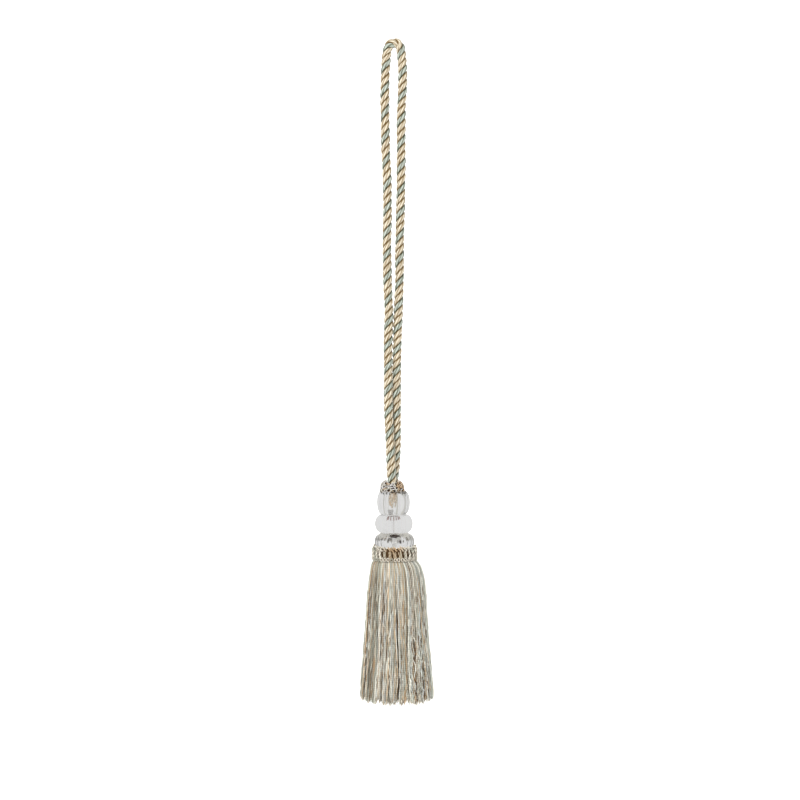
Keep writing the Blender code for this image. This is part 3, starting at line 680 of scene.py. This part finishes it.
def stitch_tree():
    """Sweeps plied yarn along a stitch and repeats it round a ring, each stitch a little different."""
    tree, given = new_tree("ring_of_stitches", (
        ("Count", "Int"), ("Centre", "Vector"), ("Ring radius", "Float"), ("Turn", "Float"), ("Yarn radius", "Float"),
        ("Ply lead", "Float"), ("Uneven", "Float"), ("Warmth", "Float"), ("Seed", "Int"), ("Material", "Material"),
    ))
    line = add(tree, "GeometryNodeMeshToCurve", {0: given["Guides"]})
    along = add(tree, "GeometryNodeSplineParameter").outputs["Length"]
    twisted = twist(tree, line, along, given["Ply lead"])
    section, ply, place = ply_section(tree, 2, 0.34, 5)
    tube = add(tree, "GeometryNodeCurveToMesh", {
        0: twisted, 1: section, "Scale": given["Yarn radius"], "Fill Caps": True,
    })
    tube = store(tree, tube, "ply", ply)
    ring = add(tree, "GeometryNodeMeshCircle", {"Vertices": given["Count"], "Radius": given["Ring radius"]})
    index = add(tree, "GeometryNodeInputIndex")
    share = add(tree, "ShaderNodeMath", {0: index, 1: given["Count"]}, operation="DIVIDE")
    start = add(tree, "ShaderNodeMath", {0: share, 1: TURN, 2: given["Turn"]}, operation="MULTIPLY_ADD")
    chance = add(tree, "FunctionNodeRandomValue", {"Min": (-1, -1, -1), "Max": (1, 1, 1), "Seed": given["Seed"]},
                 data_type="FLOAT_VECTOR")
    unlike = add(tree, "ShaderNodeVectorMath", {0: chance, 3: given["Uneven"]}, operation="SCALE")
    upright = add(tree, "ShaderNodeCombineXYZ", {2: start})
    turned = add(tree, "ShaderNodeVectorMath", {0: upright, 1: unlike}, operation="ADD")
    spot = add(tree, "ShaderNodeVectorMath", {
        0: on_circle(tree, start, given["Ring radius"]), 1: given["Centre"],
    }, operation="ADD")
    spots = add(tree, "GeometryNodeSetPosition", {"Geometry": ring, "Position": spot})
    size = add(tree, "FunctionNodeRandomValue", {2: 0.9, 3: 1.1, "Seed": given["Seed"]}, data_type="FLOAT")
    stitches = add(tree, "GeometryNodeInstanceOnPoints", {
        "Points": spots, "Instance": tube, "Rotation": turned, "Scale": size.outputs[1],
    })
    tint = add(tree, "FunctionNodeRandomValue", {2: 0.0, 3: 1.0, "Seed": given["Seed"]}, data_type="FLOAT")
    tinted = store(tree, stitches, "tint", tint.outputs[1], domain="INSTANCE")
    real = add(tree, "GeometryNodeRealizeInstances", {0: tinted})
    # Warmer yarn in three patches round the ring, one of them at the front
    split = add(tree, "ShaderNodeSeparateXYZ", {0: add(tree, "GeometryNodeInputPosition")})
    heading = add(tree, "ShaderNodeMath", {0: split.outputs[1], 1: split.outputs[0]}, operation="ARCTAN2")
    patches = add(tree, "ShaderNodeMath", {0: heading, 1: 3.0, 2: -math.pi / 2}, operation="MULTIPLY_ADD")
    wave = add(tree, "ShaderNodeMath", {0: patches}, operation="COSINE")
    warm = add(tree, "ShaderNodeMapRange", {
        "Value": wave, "From Min": -0.2, "From Max": 1.0, "To Min": 0.0, "To Max": given["Warmth"],
    })
    close_tree(tree, store(tree, real, "warm", warm), given)
    return tree


def yarn_tree():
    """Sweeps plied yarn along its guides."""
    tree, given = new_tree("plied_yarn", (
        ("Plies", "Int"), ("Ply depth", "Float"), ("Ply lead", "Float"), ("Material", "Material"),
    ))
    line = add(tree, "GeometryNodeMeshToCurve", {0: given["Guides"]})
    along = add(tree, "GeometryNodeSplineParameter").outputs["Length"]
    kept, (along,) = capture(tree, line, "POINT", along=("FLOAT", along))
    twisted = twist(tree, kept, along, given["Ply lead"])
    section, ply, place = ply_section(tree, given["Plies"], given["Ply depth"], 4)
    girth = add(tree, "GeometryNodeInputNamedAttribute", {"Name": "girth"}, data_type="FLOAT")
    tube = add(tree, "GeometryNodeCurveToMesh", {
        0: twisted, 1: section, "Scale": girth, "Fill Caps": True,
    })
    # The cord's material takes depth for the hollows between strands; a single yarn has none
    close_tree(tree, store(tree, store_yarn(tree, tube, ply, place, along), "depth", 1.0), given)
    return tree


def thread_tree():
    """Fills each lock's guide line with crinkled threads, as many as the attribute that Yarn names says."""
    tree, given = new_tree("threads_in_locks", (
        ("Yarn", "String"), ("Stations", "Int"), ("Sides", "Int"), ("Thread radius", "Float"),
        ("Root spread", "Float"), ("Spread", "Float"), ("Tip spread", "Float"), ("Crinkle", "Float"),
        ("Crinkle length", "Float"), ("Ragged", "Float"), ("Seed", "Int"), ("Material", "Material"),
    ))
    line = add(tree, "GeometryNodeMeshToCurve", {0: given["Guides"]})
    fine = add(tree, "GeometryNodeResampleCurve", {"Curve": line, "Count": given["Stations"]})
    amount = add(tree, "GeometryNodeInputNamedAttribute", {"Name": given["Yarn"]}, data_type="INT")
    copies = add(
        tree, "GeometryNodeDuplicateElements", {0: fine, "Amount": amount}, domain="SPLINE",
    )
    chance = add(tree, "FunctionNodeRandomValue", {"Seed": given["Seed"]}, data_type="FLOAT_VECTOR")
    kept, (chance,) = capture(tree, copies, "CURVE", chance=("VECTOR", chance))
    parameter = add(tree, "GeometryNodeSplineParameter").outputs
    kept, (down, along) = capture(
        tree, kept, "POINT", down=("FLOAT", parameter["Factor"]), along=("FLOAT", parameter["Length"]),
    )
    draw = add(tree, "ShaderNodeSeparateXYZ", {0: chance}).outputs
    angle = add(tree, "ShaderNodeMath", {0: draw[0], 1: TURN}, operation="MULTIPLY")
    out = add(tree, "ShaderNodeMath", {0: draw[1]}, operation="SQRT")
    opening = add(tree, "ShaderNodeMapRange", {
        "Value": down, "From Min": 0.03, "From Max": 0.25, "To Min": given["Root spread"], "To Max": given["Spread"],
    }, interpolation_type="SMOOTHSTEP")
    closing = add(tree, "ShaderNodeMapRange", {
        "Value": down, "From Min": 0.75, "From Max": 1.0, "To Min": 1.0, "To Max": given["Tip spread"],
    }, interpolation_type="SMOOTHSTEP")
    spread = add(tree, "ShaderNodeMath", {0: opening, 1: closing}, operation="MULTIPLY")
    reach = add(tree, "ShaderNodeMath", {0: out, 1: spread}, operation="MULTIPLY")
    beside = on_circle(tree, angle, reach)
    # Crinkle: noise read along the thread, from another place for each thread
    place = add(tree, "GeometryNodeInputPosition")
    bends = add(tree, "ShaderNodeMath", {0: 1.0, 1: given["Crinkle length"]}, operation="DIVIDE")
    far = add(tree, "ShaderNodeVectorMath", {0: chance, 3: 97.0}, operation="SCALE")
    wild = add(tree, "GeometryNodeInputNamedAttribute", {"Name": "wild"}, data_type="FLOAT")
    closer = add(tree, "ShaderNodeMath", {0: wild, 1: 0.35}, operation="POWER")
    bends = add(tree, "ShaderNodeMath", {0: bends, 1: closer}, operation="MULTIPLY")
    read = add(tree, "ShaderNodeVectorMath", {0: place, 3: bends}, operation="SCALE")
    read = add(tree, "ShaderNodeVectorMath", {0: read, 1: far}, operation="ADD")
    noise = add(tree, "ShaderNodeTexNoise", {"Vector": read, "Scale": 1.0, "Detail": 1.0}).outputs["Color"]
    sway = add(tree, "ShaderNodeVectorMath", {0: noise, 1: (0.5, 0.5, 0.5)}, operation="SUBTRACT")
    loose = add(tree, "ShaderNodeMapRange", {
        "Value": down, "From Min": 0.0, "From Max": 0.3, "To Min": 0.0, "To Max": given["Crinkle"],
    })
    wilder = add(tree, "ShaderNodeMapRange", {
        "Value": down, "From Min": 0.4, "From Max": 0.8, "To Min": 1.0, "To Max": wild,
    })
    loose = add(tree, "ShaderNodeMath", {0: loose, 1: wilder}, operation="MULTIPLY")
    sway = add(tree, "ShaderNodeVectorMath", {0: sway, 3: loose}, operation="SCALE")
    sway = add(tree, "ShaderNodeVectorMath", {0: sway, 1: (4.0, 4.0, 0.0)}, operation="MULTIPLY")
    shift = add(tree, "ShaderNodeVectorMath", {0: beside, 1: sway}, operation="ADD")
    moved = add(tree, "GeometryNodeSetPosition", {"Geometry": kept, "Offset": shift})
    # The threads at a lock's edge are cut shorter than those in its middle, so the lock ends in a point
    edge = add(tree, "ShaderNodeMath", {0: draw[1], 1: 0.55}, operation="MULTIPLY")
    short = add(tree, "ShaderNodeMath", {0: draw[2], 1: 0.45, 2: edge}, operation="MULTIPLY_ADD")
    cut = add(tree, "ShaderNodeMath", {0: short, 1: given["Ragged"]}, operation="MULTIPLY")
    end = add(tree, "ShaderNodeMath", {0: 1.0, 1: cut}, operation="SUBTRACT")
    trimmed = add(tree, "GeometryNodeTrimCurve", {0: moved, 3: end}, mode="FACTOR")
    taper = add(tree, "ShaderNodeMapRange", {
        "Value": down, "From Min": 0.94, "From Max": 1.0, "To Min": 1.0, "To Max": 0.5,
    })
    girth = add(tree, "ShaderNodeMath", {0: given["Thread radius"], 1: taper}, operation="MULTIPLY")
    section = add(tree, "GeometryNodeCurvePrimitiveCircle", {"Resolution": given["Sides"], "Radius": 1.0})
    tube = add(tree, "GeometryNodeCurveToMesh", {
        0: trimmed, 1: section, "Scale": girth, "Fill Caps": True,
    })
    close_tree(tree, store(tree, store(tree, tube, "tint", draw[2]), "twist", along), given)
    return tree


# --- Guides -------------------------------------------------------------------------------------------------
def cord_guide():
    """The cord's stations, evenly spaced, and the turns of the lay at each."""
    route = smooth_line(CORD_ROUTE, ROUTE_SUBDIVISION)
    run = np.concatenate([[0], np.cumsum(np.linalg.norm(np.diff(route, axis=0), axis=1))])
    crown = int(np.argmax(route[:, 2]))
    arms = {-1: slice(0, crown), +1: slice(crown, len(route))}
    marks = []
    for arm, height, turns in LAY_MARKS:
        stretch = arms[arm]
        nearest = int(np.argmin(np.abs(route[stretch, 2] - height)))
        marks.append((run[stretch][nearest], turns))
    first, last = marks[0], marks[-1]
    marks.insert(0, (0.0, first[1] - first[0] / LAY_LEAD))
    marks.append((run[-1], last[1] + (run[-1] - last[0]) / LAY_LEAD))
    stations = np.linspace(0, run[-1], int(run[-1] / ROUTE_STEP) + 1)
    line = np.stack([np.interp(stations, run, route[:, axis]) for axis in range(3)], axis=1)
    return line, np.interp(stations, *zip(*marks)), float(run[-1])


def lock_guides():
    """The centreline of every lock of the skirt, how deep inside it lies, how much it crinkles and how many threads
    of each yarn it holds."""
    rng = random.Random(SEED)
    heights, radii = (np.array(column) * MM for column in zip(*SKIRT_PROFILE_MM))
    names = [name for name, _ in SKIRT_YARNS]
    weights = [weight for _, weight in SKIRT_YARNS]
    lines, inner, wild, counts = [], [], [], {name: [] for name in names}
    bunches = [(waves, move, rng.uniform(0, TURN)) for waves, move in SKIRT_BUNCHES]
    for ring, (locks, share, threads) in enumerate(SKIRT_RINGS):
        for index in range(locks):
            start = TURN * (index + 0.5 * (ring % 2) + rng.uniform(-0.25, 0.25)) / locks
            pull = sum(move * math.sin(waves * start + phase) for waves, move, phase in bunches)
            phase, rate, sway = rng.uniform(0, TURN), rng.uniform(0.8, 1.7), rng.uniform(0.5, 1.6) * MM
            stretch = 1 + rng.uniform(-0.012, 0.014)
            full = 1 + rng.uniform(-0.045, 0.012)
            line = []
            for height, radius in zip(heights, radii):
                down = (heights[0] - height) / (heights[0] - heights[-1])
                side = sway * down * math.sin(phase + TURN * rate * down) * 1.3
                heading = start + pull * min(1, down * 3)
                lift = rng.uniform(-0.25, 0.25) * MM * down + radius * share * (full - 1) * min(1, down * 12)
                fall = max(SKIRT_DRIFT_START - height, 0.0)
                shift = SKIRT_DRIFT * (1 - math.exp(-fall / SKIRT_DRIFT_LENGTH))
                reach = (radius + SKIRT_FULLER * min(1, down * 12)) * share + lift
                line.append((
                    SKIRT_CENTRE + shift + reach * math.cos(heading) - side * math.sin(heading),
                    reach * math.sin(heading) + side * math.cos(heading),
                    heights[0] + (height - heights[0]) * stretch,
                ))
            lines.append(smooth_line(line, 2))
            # How deep inside the lock lies, which the threads' material turns into painted shade
            inner.append(min(1.0, 2.2 * (1 - share)))
            away = (math.degrees(start) - SKIRT_WILD_HEADING) / SKIRT_WILD_WIDTH
            wild.append(1 + SKIRT_WILD * math.exp(-away ** 2))
            main = rng.choices(names, weights)[0]
            held = [main if rng.random() < 0.25 else rng.choices(names, weights)[0] for _ in range(threads)]
            for name in names:
                counts[name].append(held.count(name))
    return guide_mesh(lines, inner=inner, wild=wild, **counts)


def ruff_guides(yarn):
    """Small curled knots crowded over the ruff, turned every way, golden at its front right."""
    rng = random.Random(SEED + 9)
    curl = smooth_line(RUFF_CURL, 3)
    lines, tints, warms = [], [], []
    for row, (height, radius, knots) in enumerate(RUFF_ROWS):
        for knot in range(knots):
            heading = TURN * (knot + 0.5 * (row % 2) + rng.uniform(-0.22, 0.22)) / knots
            turn, size, flip = rng.uniform(0, TURN), rng.uniform(0.8, 1.1), rng.choice((-1, 1))
            lift = rng.uniform(-0.3, 0.4)
            line = []
            for right, up, out in curl:
                right *= flip
                along = size * (right * math.cos(turn) - up * math.sin(turn))
                rise = size * (right * math.sin(turn) + up * math.cos(turn)) * 0.85
                reach = radius + lift + size * out - 0.16 * rise
                at = heading + along / radius
                # The foot sinks into the clear top of the bead, most at the right
                sink = -0.05 * reach * math.cos(at) - 0.4
                line.append((
                    RUFF_FOOT.x + reach * math.cos(at) * MM, reach * math.sin(at) * MM,
                    RUFF_FOOT.z + (height + rise + sink * (1 - height / RUFF_HEIGHT_MM)) * MM,
                ))
            lines.append(line)
            tints.append(rng.random())
            golden = math.cos(heading - RUFF_GOLD_HEADING) > 0.88 and rng.random() < 0.7
            low = row < 2 and math.sin(heading) < -0.5 and rng.random() < 0.5
            warms.append(rng.uniform(0.5, 0.9) if golden or low or rng.random() < 0.12 else rng.uniform(0.0, 0.15))
    return guide_mesh(lines, tint=tints, warm=warms, girth=[yarn] * len(lines))


def tail_axis(height):
    """How far to the right the tail's middle is at a height."""
    return -1.1 * MM + (-387.8 * MM - height) * 1.5 / 54.0


def tail_guides(part):
    """Every other yarn of the cord's two cut ends, drawn in and cut unevenly, each thinner towards its end."""
    rng = random.Random(SEED + 5)
    lines = []
    depths, radii = zip(*TAIL_OUTLINE_MM)
    for yarn in range(TAIL_YARNS):
        phase, reach, end = rng.uniform(0, TURN), rng.uniform(0.7, 1.05), rng.uniform(0.55, 1.0)
        if yarn % 2 != part:
            continue
        line = []
        for step in range(TAIL_STEPS + 1):
            share = end * step / TAIL_STEPS
            depth = depths[0] + (depths[-1] - depths[0]) * share
            radius = float(np.interp(depth, depths, radii)) * reach + 0.25 * math.sin(phase + 14 * share)
            heading = TURN * (yarn / TAIL_YARNS + share * 0.45) + 0.35 * math.sin(2 * phase + 11 * share)
            line.append((
                TAIL_SHIFT + TAIL_SWING * (1 - share) + radius * math.cos(heading) * MM,
                radius * math.sin(heading) * MM, -depth * MM,
            ))
        lines.append(line)
    taper = [(1.15 - 0.6 * step / TAIL_STEPS) * MM for step in range(TAIL_STEPS + 1)]
    return guide_mesh(lines, girth=taper * len(lines))


def post_guides():
    """Short upright stitches round the tail, their tops and feet not quite level."""
    rng = random.Random(SEED + 6)
    top, bottom, radius, yarn = (value * MM for value in TAIL_POSTS_MM)
    lines = []
    for post in range(TAIL_POSTS):
        heading = TURN * (post + rng.uniform(-0.2, 0.2)) / TAIL_POSTS
        start, end = top - rng.uniform(0, 0.5) * MM, bottom + rng.uniform(0, 0.8) * MM
        lines.append([
            (tail_axis(height) + radius * math.cos(heading), radius * math.sin(heading), height)
            for height in (start, (start + end) / 2, end)
        ])
    return guide_mesh(lines, girth=[yarn] * TAIL_POSTS)


def end_guides():
    """Two short cut ends that hang in front of the whipping's foot."""
    lines = [
        [(x * MM, -2.4 * MM, (below - depth) * MM) for below in (0.0, -0.4, -0.9)] for x, depth, _ in TAIL_ENDS_MM
    ]
    return guide_mesh(lines, girth=[yarn * MM for _, _, yarn in TAIL_ENDS_MM])


def coil_guide(name):
    """One close coil of binding yarn round the tail."""
    top, bottom, radius, pitch, yarn, bulge, shift = (value * MM for value in TAIL_COILS_MM[name])
    turns = (top - bottom) / pitch
    steps = int(turns * 18)
    line = []
    for step in range(steps + 1):
        share = step / steps
        height = top + (bottom - top) * share
        heading = TURN * turns * share
        reach = radius + bulge * math.sin(math.pi * share)
        line.append((tail_axis(height) + shift + reach * math.cos(heading), reach * math.sin(heading), height))
    return guide_mesh([line], girth=[yarn])


def bead_outline(bead):
    """Half a bead's section, from the foot of its bore up and back down round its outside, as (radius, height)."""
    height = bead["top"] - bead["bottom"]
    bulge = bead["radius"] - bead["flat"]
    outline = [(bead["bore"], height * share) for share in (0.0, 0.15, 0.3, 0.45, 0.6, 0.75)]
    outline += [((bead["bore"] + bead["mouth"]) / 2, height * 0.88), (bead["mouth"], height)]
    return outline + [
        (bead["flat"] + bulge * math.cos(angle), height / 2 * (1 + math.sin(angle)))
        for angle in (math.pi * (0.5 - step / 32) for step in range(33))
    ]


def ridge(bead, angle):
    """How near an angle round the bead is to the crest of a lobe: 1 on the crest, 0 in the groove."""
    return abs(math.cos(bead["lobes"] / 2 * (angle - math.radians(bead["turn"]))))


# --- Operators ----------------------------------------------------------------------------------------------
class TASSEL_OT_stage(bpy.types.Operator):
    """Make the camera, the pale sweep and the soft lights"""
    bl_idname = "tassel.stage"
    bl_label = "Stage"

    def execute(self, context):
        settings = context.scene.tassel_stage
        scene = context.scene
        scene.view_settings.view_transform = "Standard"
        camera = bpy.data.objects.new("camera", bpy.data.cameras.new("camera"))
        camera.data.lens = CAMERA_LENS_MM
        camera.data.sensor_width = CAMERA_SENSOR_MM
        camera.location = CAMERA_PLACE
        camera.rotation_euler = (math.radians(90), 0, 0)
        scene.collection.objects.link(camera)
        scene.camera = camera

        world = bpy.data.worlds.new("white_surround")
        world.use_nodes = True
        background = world.node_tree.nodes["Background"]
        background.inputs["Color"].default_value = (*settings.sky_colour, 1)
        background.inputs["Strength"].default_value = settings.sky
        scene.world = world

        profile = [(SWEEP_FRONT, SWEEP_FLOOR)]
        for step in range(17):
            angle = math.pi / 2 * step / 16
            profile.append((
                SWEEP_BACK - SWEEP_BEND + SWEEP_BEND * math.sin(angle),
                SWEEP_FLOOR + SWEEP_BEND * (1 - math.cos(angle)),
            ))
        profile.append((SWEEP_BACK, SWEEP_TOP))
        points = [(x, y, z) for x in (-SWEEP_HALF_WIDTH, SWEEP_HALF_WIDTH) for y, z in profile]
        row = len(profile)
        faces = [(i + 1, i + row + 1, i + row, i) for i in range(row - 1)]
        mesh = bpy.data.meshes.new("sweep")
        mesh.from_pydata(points, [], faces)
        mesh.shade_smooth()
        sweep = bpy.data.objects.new("sweep", mesh)
        scene.collection.objects.link(sweep)
        # Matt paper, lit evenly, so it gives off a little light of its own
        paper, *_ = new_material(
            "matt_paper_sweep", Base_Color=(*settings.floor, 1), Roughness=0.9, Specular_IOR_Level=0.1,
            Emission_Color=(1, 1, 1, 1), Emission_Strength=0.55,
        )
        mesh.materials.append(paper)
        # The beads show the grey surround through them, as clear plastic does on a cut-out white ground
        sweep.visible_transmission = False
        sweep.visible_glossy = False

        for name, power, place, size in LAMPS:
            light = bpy.data.lights.new(name, "AREA")
            light.energy, light.size = getattr(settings, power), size
            lamp = bpy.data.objects.new(name, light)
            lamp.location = place
            # A lamp that the beads mirror is a sharp white spot on each
            lamp.visible_transmission = False
            lamp.visible_glossy = False
            aim = Vector(LAMP_AIM) - Vector(place)
            lamp.rotation_euler = aim.to_track_quat("-Z", "Y").to_euler()
            scene.collection.objects.link(lamp)
        return {"FINISHED"}


class TASSEL_OT_cord(bpy.types.Operator):
    """Lay the loop of twisted cord along its route"""
    bl_idname = "tassel.cord"
    bl_label = "Cord loop"

    def execute(self, context):
        settings = context.scene.tassel_cord
        line, turns, run = cord_guide()
        sage = rayon_strand("sage_rayon_strand", settings.sage, settings.sage_deep)
        gold = rayon_strand("gold_rayon_strand", settings.gold, settings.gold_deep)
        rope = grown(
            "laid_rope", cord_tree(), guide_mesh([line], turns=[float(t) for t in turns]), "twisted_cord",
            Strands=3, Lay_radius=settings.lay, Strand_radius=settings.strand,
            Plies=settings.plies, Ply_depth=settings.ply_depth, Ply_lead=settings.ply_lead,
            Material=sage, Gold=gold,
        )
        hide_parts("cord_loop")
        return {"FINISHED"}


class TASSEL_OT_beads(bpy.types.Operator):
    """Make the three clear beads and the bound tail inside them"""
    bl_idname = "tassel.beads"
    bl_label = "Beads and tail"

    def execute(self, context):
        settings = context.scene.tassel_beads
        clear = clear_acrylic("clear_moulded_acrylic", settings.tint, settings.roughness)
        # Painted shade: a darker acrylic for the grooves between the upper bead's lobes
        groove = clear_acrylic("acrylic_in_a_groove", settings.groove, 0.35)
        for name, bead in BEADS.items():
            def lobed(angle, radius, bead=bead):
                out = min(max((radius - bead["flat"]) / (bead["radius"] - bead["flat"]), 0.0), 1.0)
                return radius - bead["depth"] * out * (1 - ridge(bead, angle))

            obj = spun(
                f"{name}_bead_clear", bead_outline(bead), bead["steps"], (bead["x"], 0, bead["bottom"]),
                lobed,
            )
            obj.data.materials.append(clear)
            obj.data.materials.append(groove)
            # The faces in the grooves between lobes take the painted shade
            if name == "upper":
                for face in obj.data.polygons:
                    place = face.center.x - bead["x"], face.center.y
                    in_groove = ridge(bead, math.atan2(place[1], place[0])) < GROOVE_SHARE
                    face.material_index = int(in_groove and math.hypot(*place) > bead["flat"] + GROOVE_START)
            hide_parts(bead["node"])

        # Name, material, its colour, how dark the painted shade in its hollows is, the painted light (a glow) that
        # stands in for the light the bead gathers on it, its lines
        tree = yarn_tree()
        glow = settings.glow
        for name, label, tint, deep, light, guides in (
            ("tail_yarns_gold", "gold_tail_yarn", settings.gold, 0.6, glow, tail_guides(0)),
            ("tail_yarns_cream", "cream_tail_yarn", settings.cream, 0.6, glow, tail_guides(1)),
            ("tail_knot", "grey_binding_thread", settings.grey, 0.5, glow, coil_guide("tail_knot")),
            ("tail_binding", "pale_binding_thread", settings.pale, 0.8, 0.28, coil_guide("tail_binding")),
            ("tail_stitches", "reddish_stitching_thread", settings.red, 0.5, glow, post_guides()),
            ("tail_ends", "brown_cut_ends", settings.brown, 0.5, 0.0, end_guides()),
            ("tail_whipping", "brown_whipping_thread", settings.brown, 0.5, 0.12, coil_guide("tail_whipping")),
        ):
            material = rayon_strand(label, tint, tuple(c * deep for c in tint), light)
            tail = grown(
                name, tree, guides, "cord_tail", Plies=2, Ply_depth=0.25, Ply_lead=4.0 * MM, Material=material,
            )
            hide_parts("cord_core")
        return {"FINISHED"}


class TASSEL_OT_gimp(bpy.types.Operator):
    """Make the ruff and the collar of gimp yarn"""
    bl_idname = "tassel.gimp"
    bl_label = "Ruff and collar"

    def execute(self, context):
        settings = context.scene.tassel_gimp
        yarn = gimp_yarn("gimp_yarn", settings.sage, settings.cream, settings.tan, settings.shade)
        # The ruff's finer gimp shows more of its shaded hollows, so its yarn is painted paler than the collar's, a
        # painted highlight, and its hollows and ground a darker brown, painted shade
        light = [
            tuple(min(c * gain, 1.0) for c in tint)
            for gain, tint in ((1.8, settings.sage), (1.6, settings.cream), (1.2, settings.tan))
        ]
        dark = tuple(c * 0.6 for c in settings.shade)
        fine_yarn = gimp_yarn("fine_gimp_yarn", *light, dark)
        # The brown ground is partly its own colour and partly painted shade in the gaps between stitches
        ground = woven_ground("brown_cotton_ground", settings.shade)
        # Painted shade: the ruff's ground is a darker copy of the collar's
        shaded_ground = woven_ground("dark_cotton_ground", dark)
        # The lining is pale and glows as well: painted light, in place of the light that reaches it through the lower
        # bead
        lining = woven_ground("pale_cotton_lining", settings.lining, 0.5)
        tree = stitch_tree()

        # Collar
        ring = spun("collar_ground", in_millimetres(COLLAR_BAND_MM), 96, COLLAR_FOOT)
        ring.data.materials.append(ground)
        ring.data.materials.append(lining)
        for face in ring.data.polygons:
            face.material_index = int(math.hypot(face.center.x - COLLAR_FOOT[0], face.center.y) < COLLAR_LINING)
        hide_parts("collar")
        half_pitch = 0.5 * (TURN / settings.ribs)
        for name, crowd, thick, warmth, seed, stitch in COLLAR_STITCHES:
            piece = grown(
                name, tree, guide_mesh([smooth_line(stitch, 4) * MM]), "gimp_braid", Count=int(settings.ribs * crowd),
                Centre=COLLAR_FOOT, Ring_radius=COLLAR_RADIUS, Turn=COLLAR_START + half_pitch,
                Yarn_radius=settings.yarn * thick, Ply_lead=5.5 * MM, Uneven=0.07, Warmth=warmth, Seed=seed,
                Material=yarn,
            )
            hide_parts("collar")

        # Ruff
        ring = spun("ruff_ground", in_millimetres(RUFF_BAND_MM), 64, RUFF_FOOT)
        ring.data.materials.append(shaded_ground)
        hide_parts("top_rosette")
        knots = grown(
            "ruff_knots", yarn_tree(), ruff_guides(settings.ruff_yarn), "gimp_braid", Plies=2, Ply_depth=0.3,
            Ply_lead=2.6 * MM, Material=fine_yarn,
        )
        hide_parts("top_rosette")
        return {"FINISHED"}


class TASSEL_OT_skirt(bpy.types.Operator):
    """Hang the bell of cut threads from its backing"""
    bl_idname = "tassel.skirt"
    bl_label = "Skirt"

    def execute(self, context):
        settings = context.scene.tassel_skirt
        guides = lock_guides()
        tree = thread_tree()
        for place, (name, _) in enumerate(SKIRT_YARNS):
            piece = grown(
                f"skirt_threads_{name}", tree, guides.copy(), "skirt_threads", Yarn=name, Stations=30, Sides=3,
                Thread_radius=settings.thread, Root_spread=0.5 * MM, Spread=0.8 * MM, Tip_spread=0.6,
                Crinkle=settings.crinkle, Crinkle_length=11.0 * MM, Ragged=settings.ragged, Seed=SEED + place,
                Material=cut_thread(f"{name}_rayon_thread", getattr(settings, name)),
            )
            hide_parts("skirt")
        disc = spun("skirt_head", in_millimetres(SKIRT_HEAD_MM), 72, (SKIRT_CENTRE, 0, 0))
        # The head tape glows a little: painted light
        disc.data.materials.append(woven_ground("cotton_head_tape", tuple(settings.head), 0.5))
        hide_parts("skirt")
        return {"FINISHED"}


class TASSEL_PT_panel(bpy.types.Panel):
    """Buttons and settings of the tassel"""
    bl_idname = "TASSEL_PT_panel"
    bl_label = "Curtain tieback tassel"
    bl_space_type = "VIEW_3D"
    bl_region_type = "UI"
    bl_category = "Tassel"

    def draw(self, context):
        for operator, group in STEPS:
            box = self.layout.box()
            box.operator(operator.bl_idname)
            settings = getattr(context.scene, group)
            for name in type(settings).__annotations__:
                box.prop(settings, name)


GROUPS = {
    "tassel_stage": StageSettings, "tassel_cord": CordSettings, "tassel_beads": BeadSettings,
    "tassel_gimp": GimpSettings, "tassel_skirt": SkirtSettings,
}
STEPS = (
    (TASSEL_OT_stage, "tassel_stage"), (TASSEL_OT_cord, "tassel_cord"), (TASSEL_OT_beads, "tassel_beads"),
    (TASSEL_OT_gimp, "tassel_gimp"), (TASSEL_OT_skirt, "tassel_skirt"),
)
CLASSES = (*GROUPS.values(), *(operator for operator, _ in STEPS), TASSEL_PT_panel)


def register():
    for cls in CLASSES:
        bpy.utils.register_class(cls)
    for name, group in GROUPS.items():
        setattr(bpy.types.Scene, name, bpy.props.PointerProperty(type=group))


def unregister():
    for name in GROUPS:
        delattr(bpy.types.Scene, name)
    for cls in reversed(CLASSES):
        bpy.utils.unregister_class(cls)


def main():
    register()
    for operator, _ in STEPS:
        group, name = operator.bl_idname.split(".")
        getattr(getattr(bpy.ops, group), name)()
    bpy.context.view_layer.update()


if __name__ == "__main__":
    main()
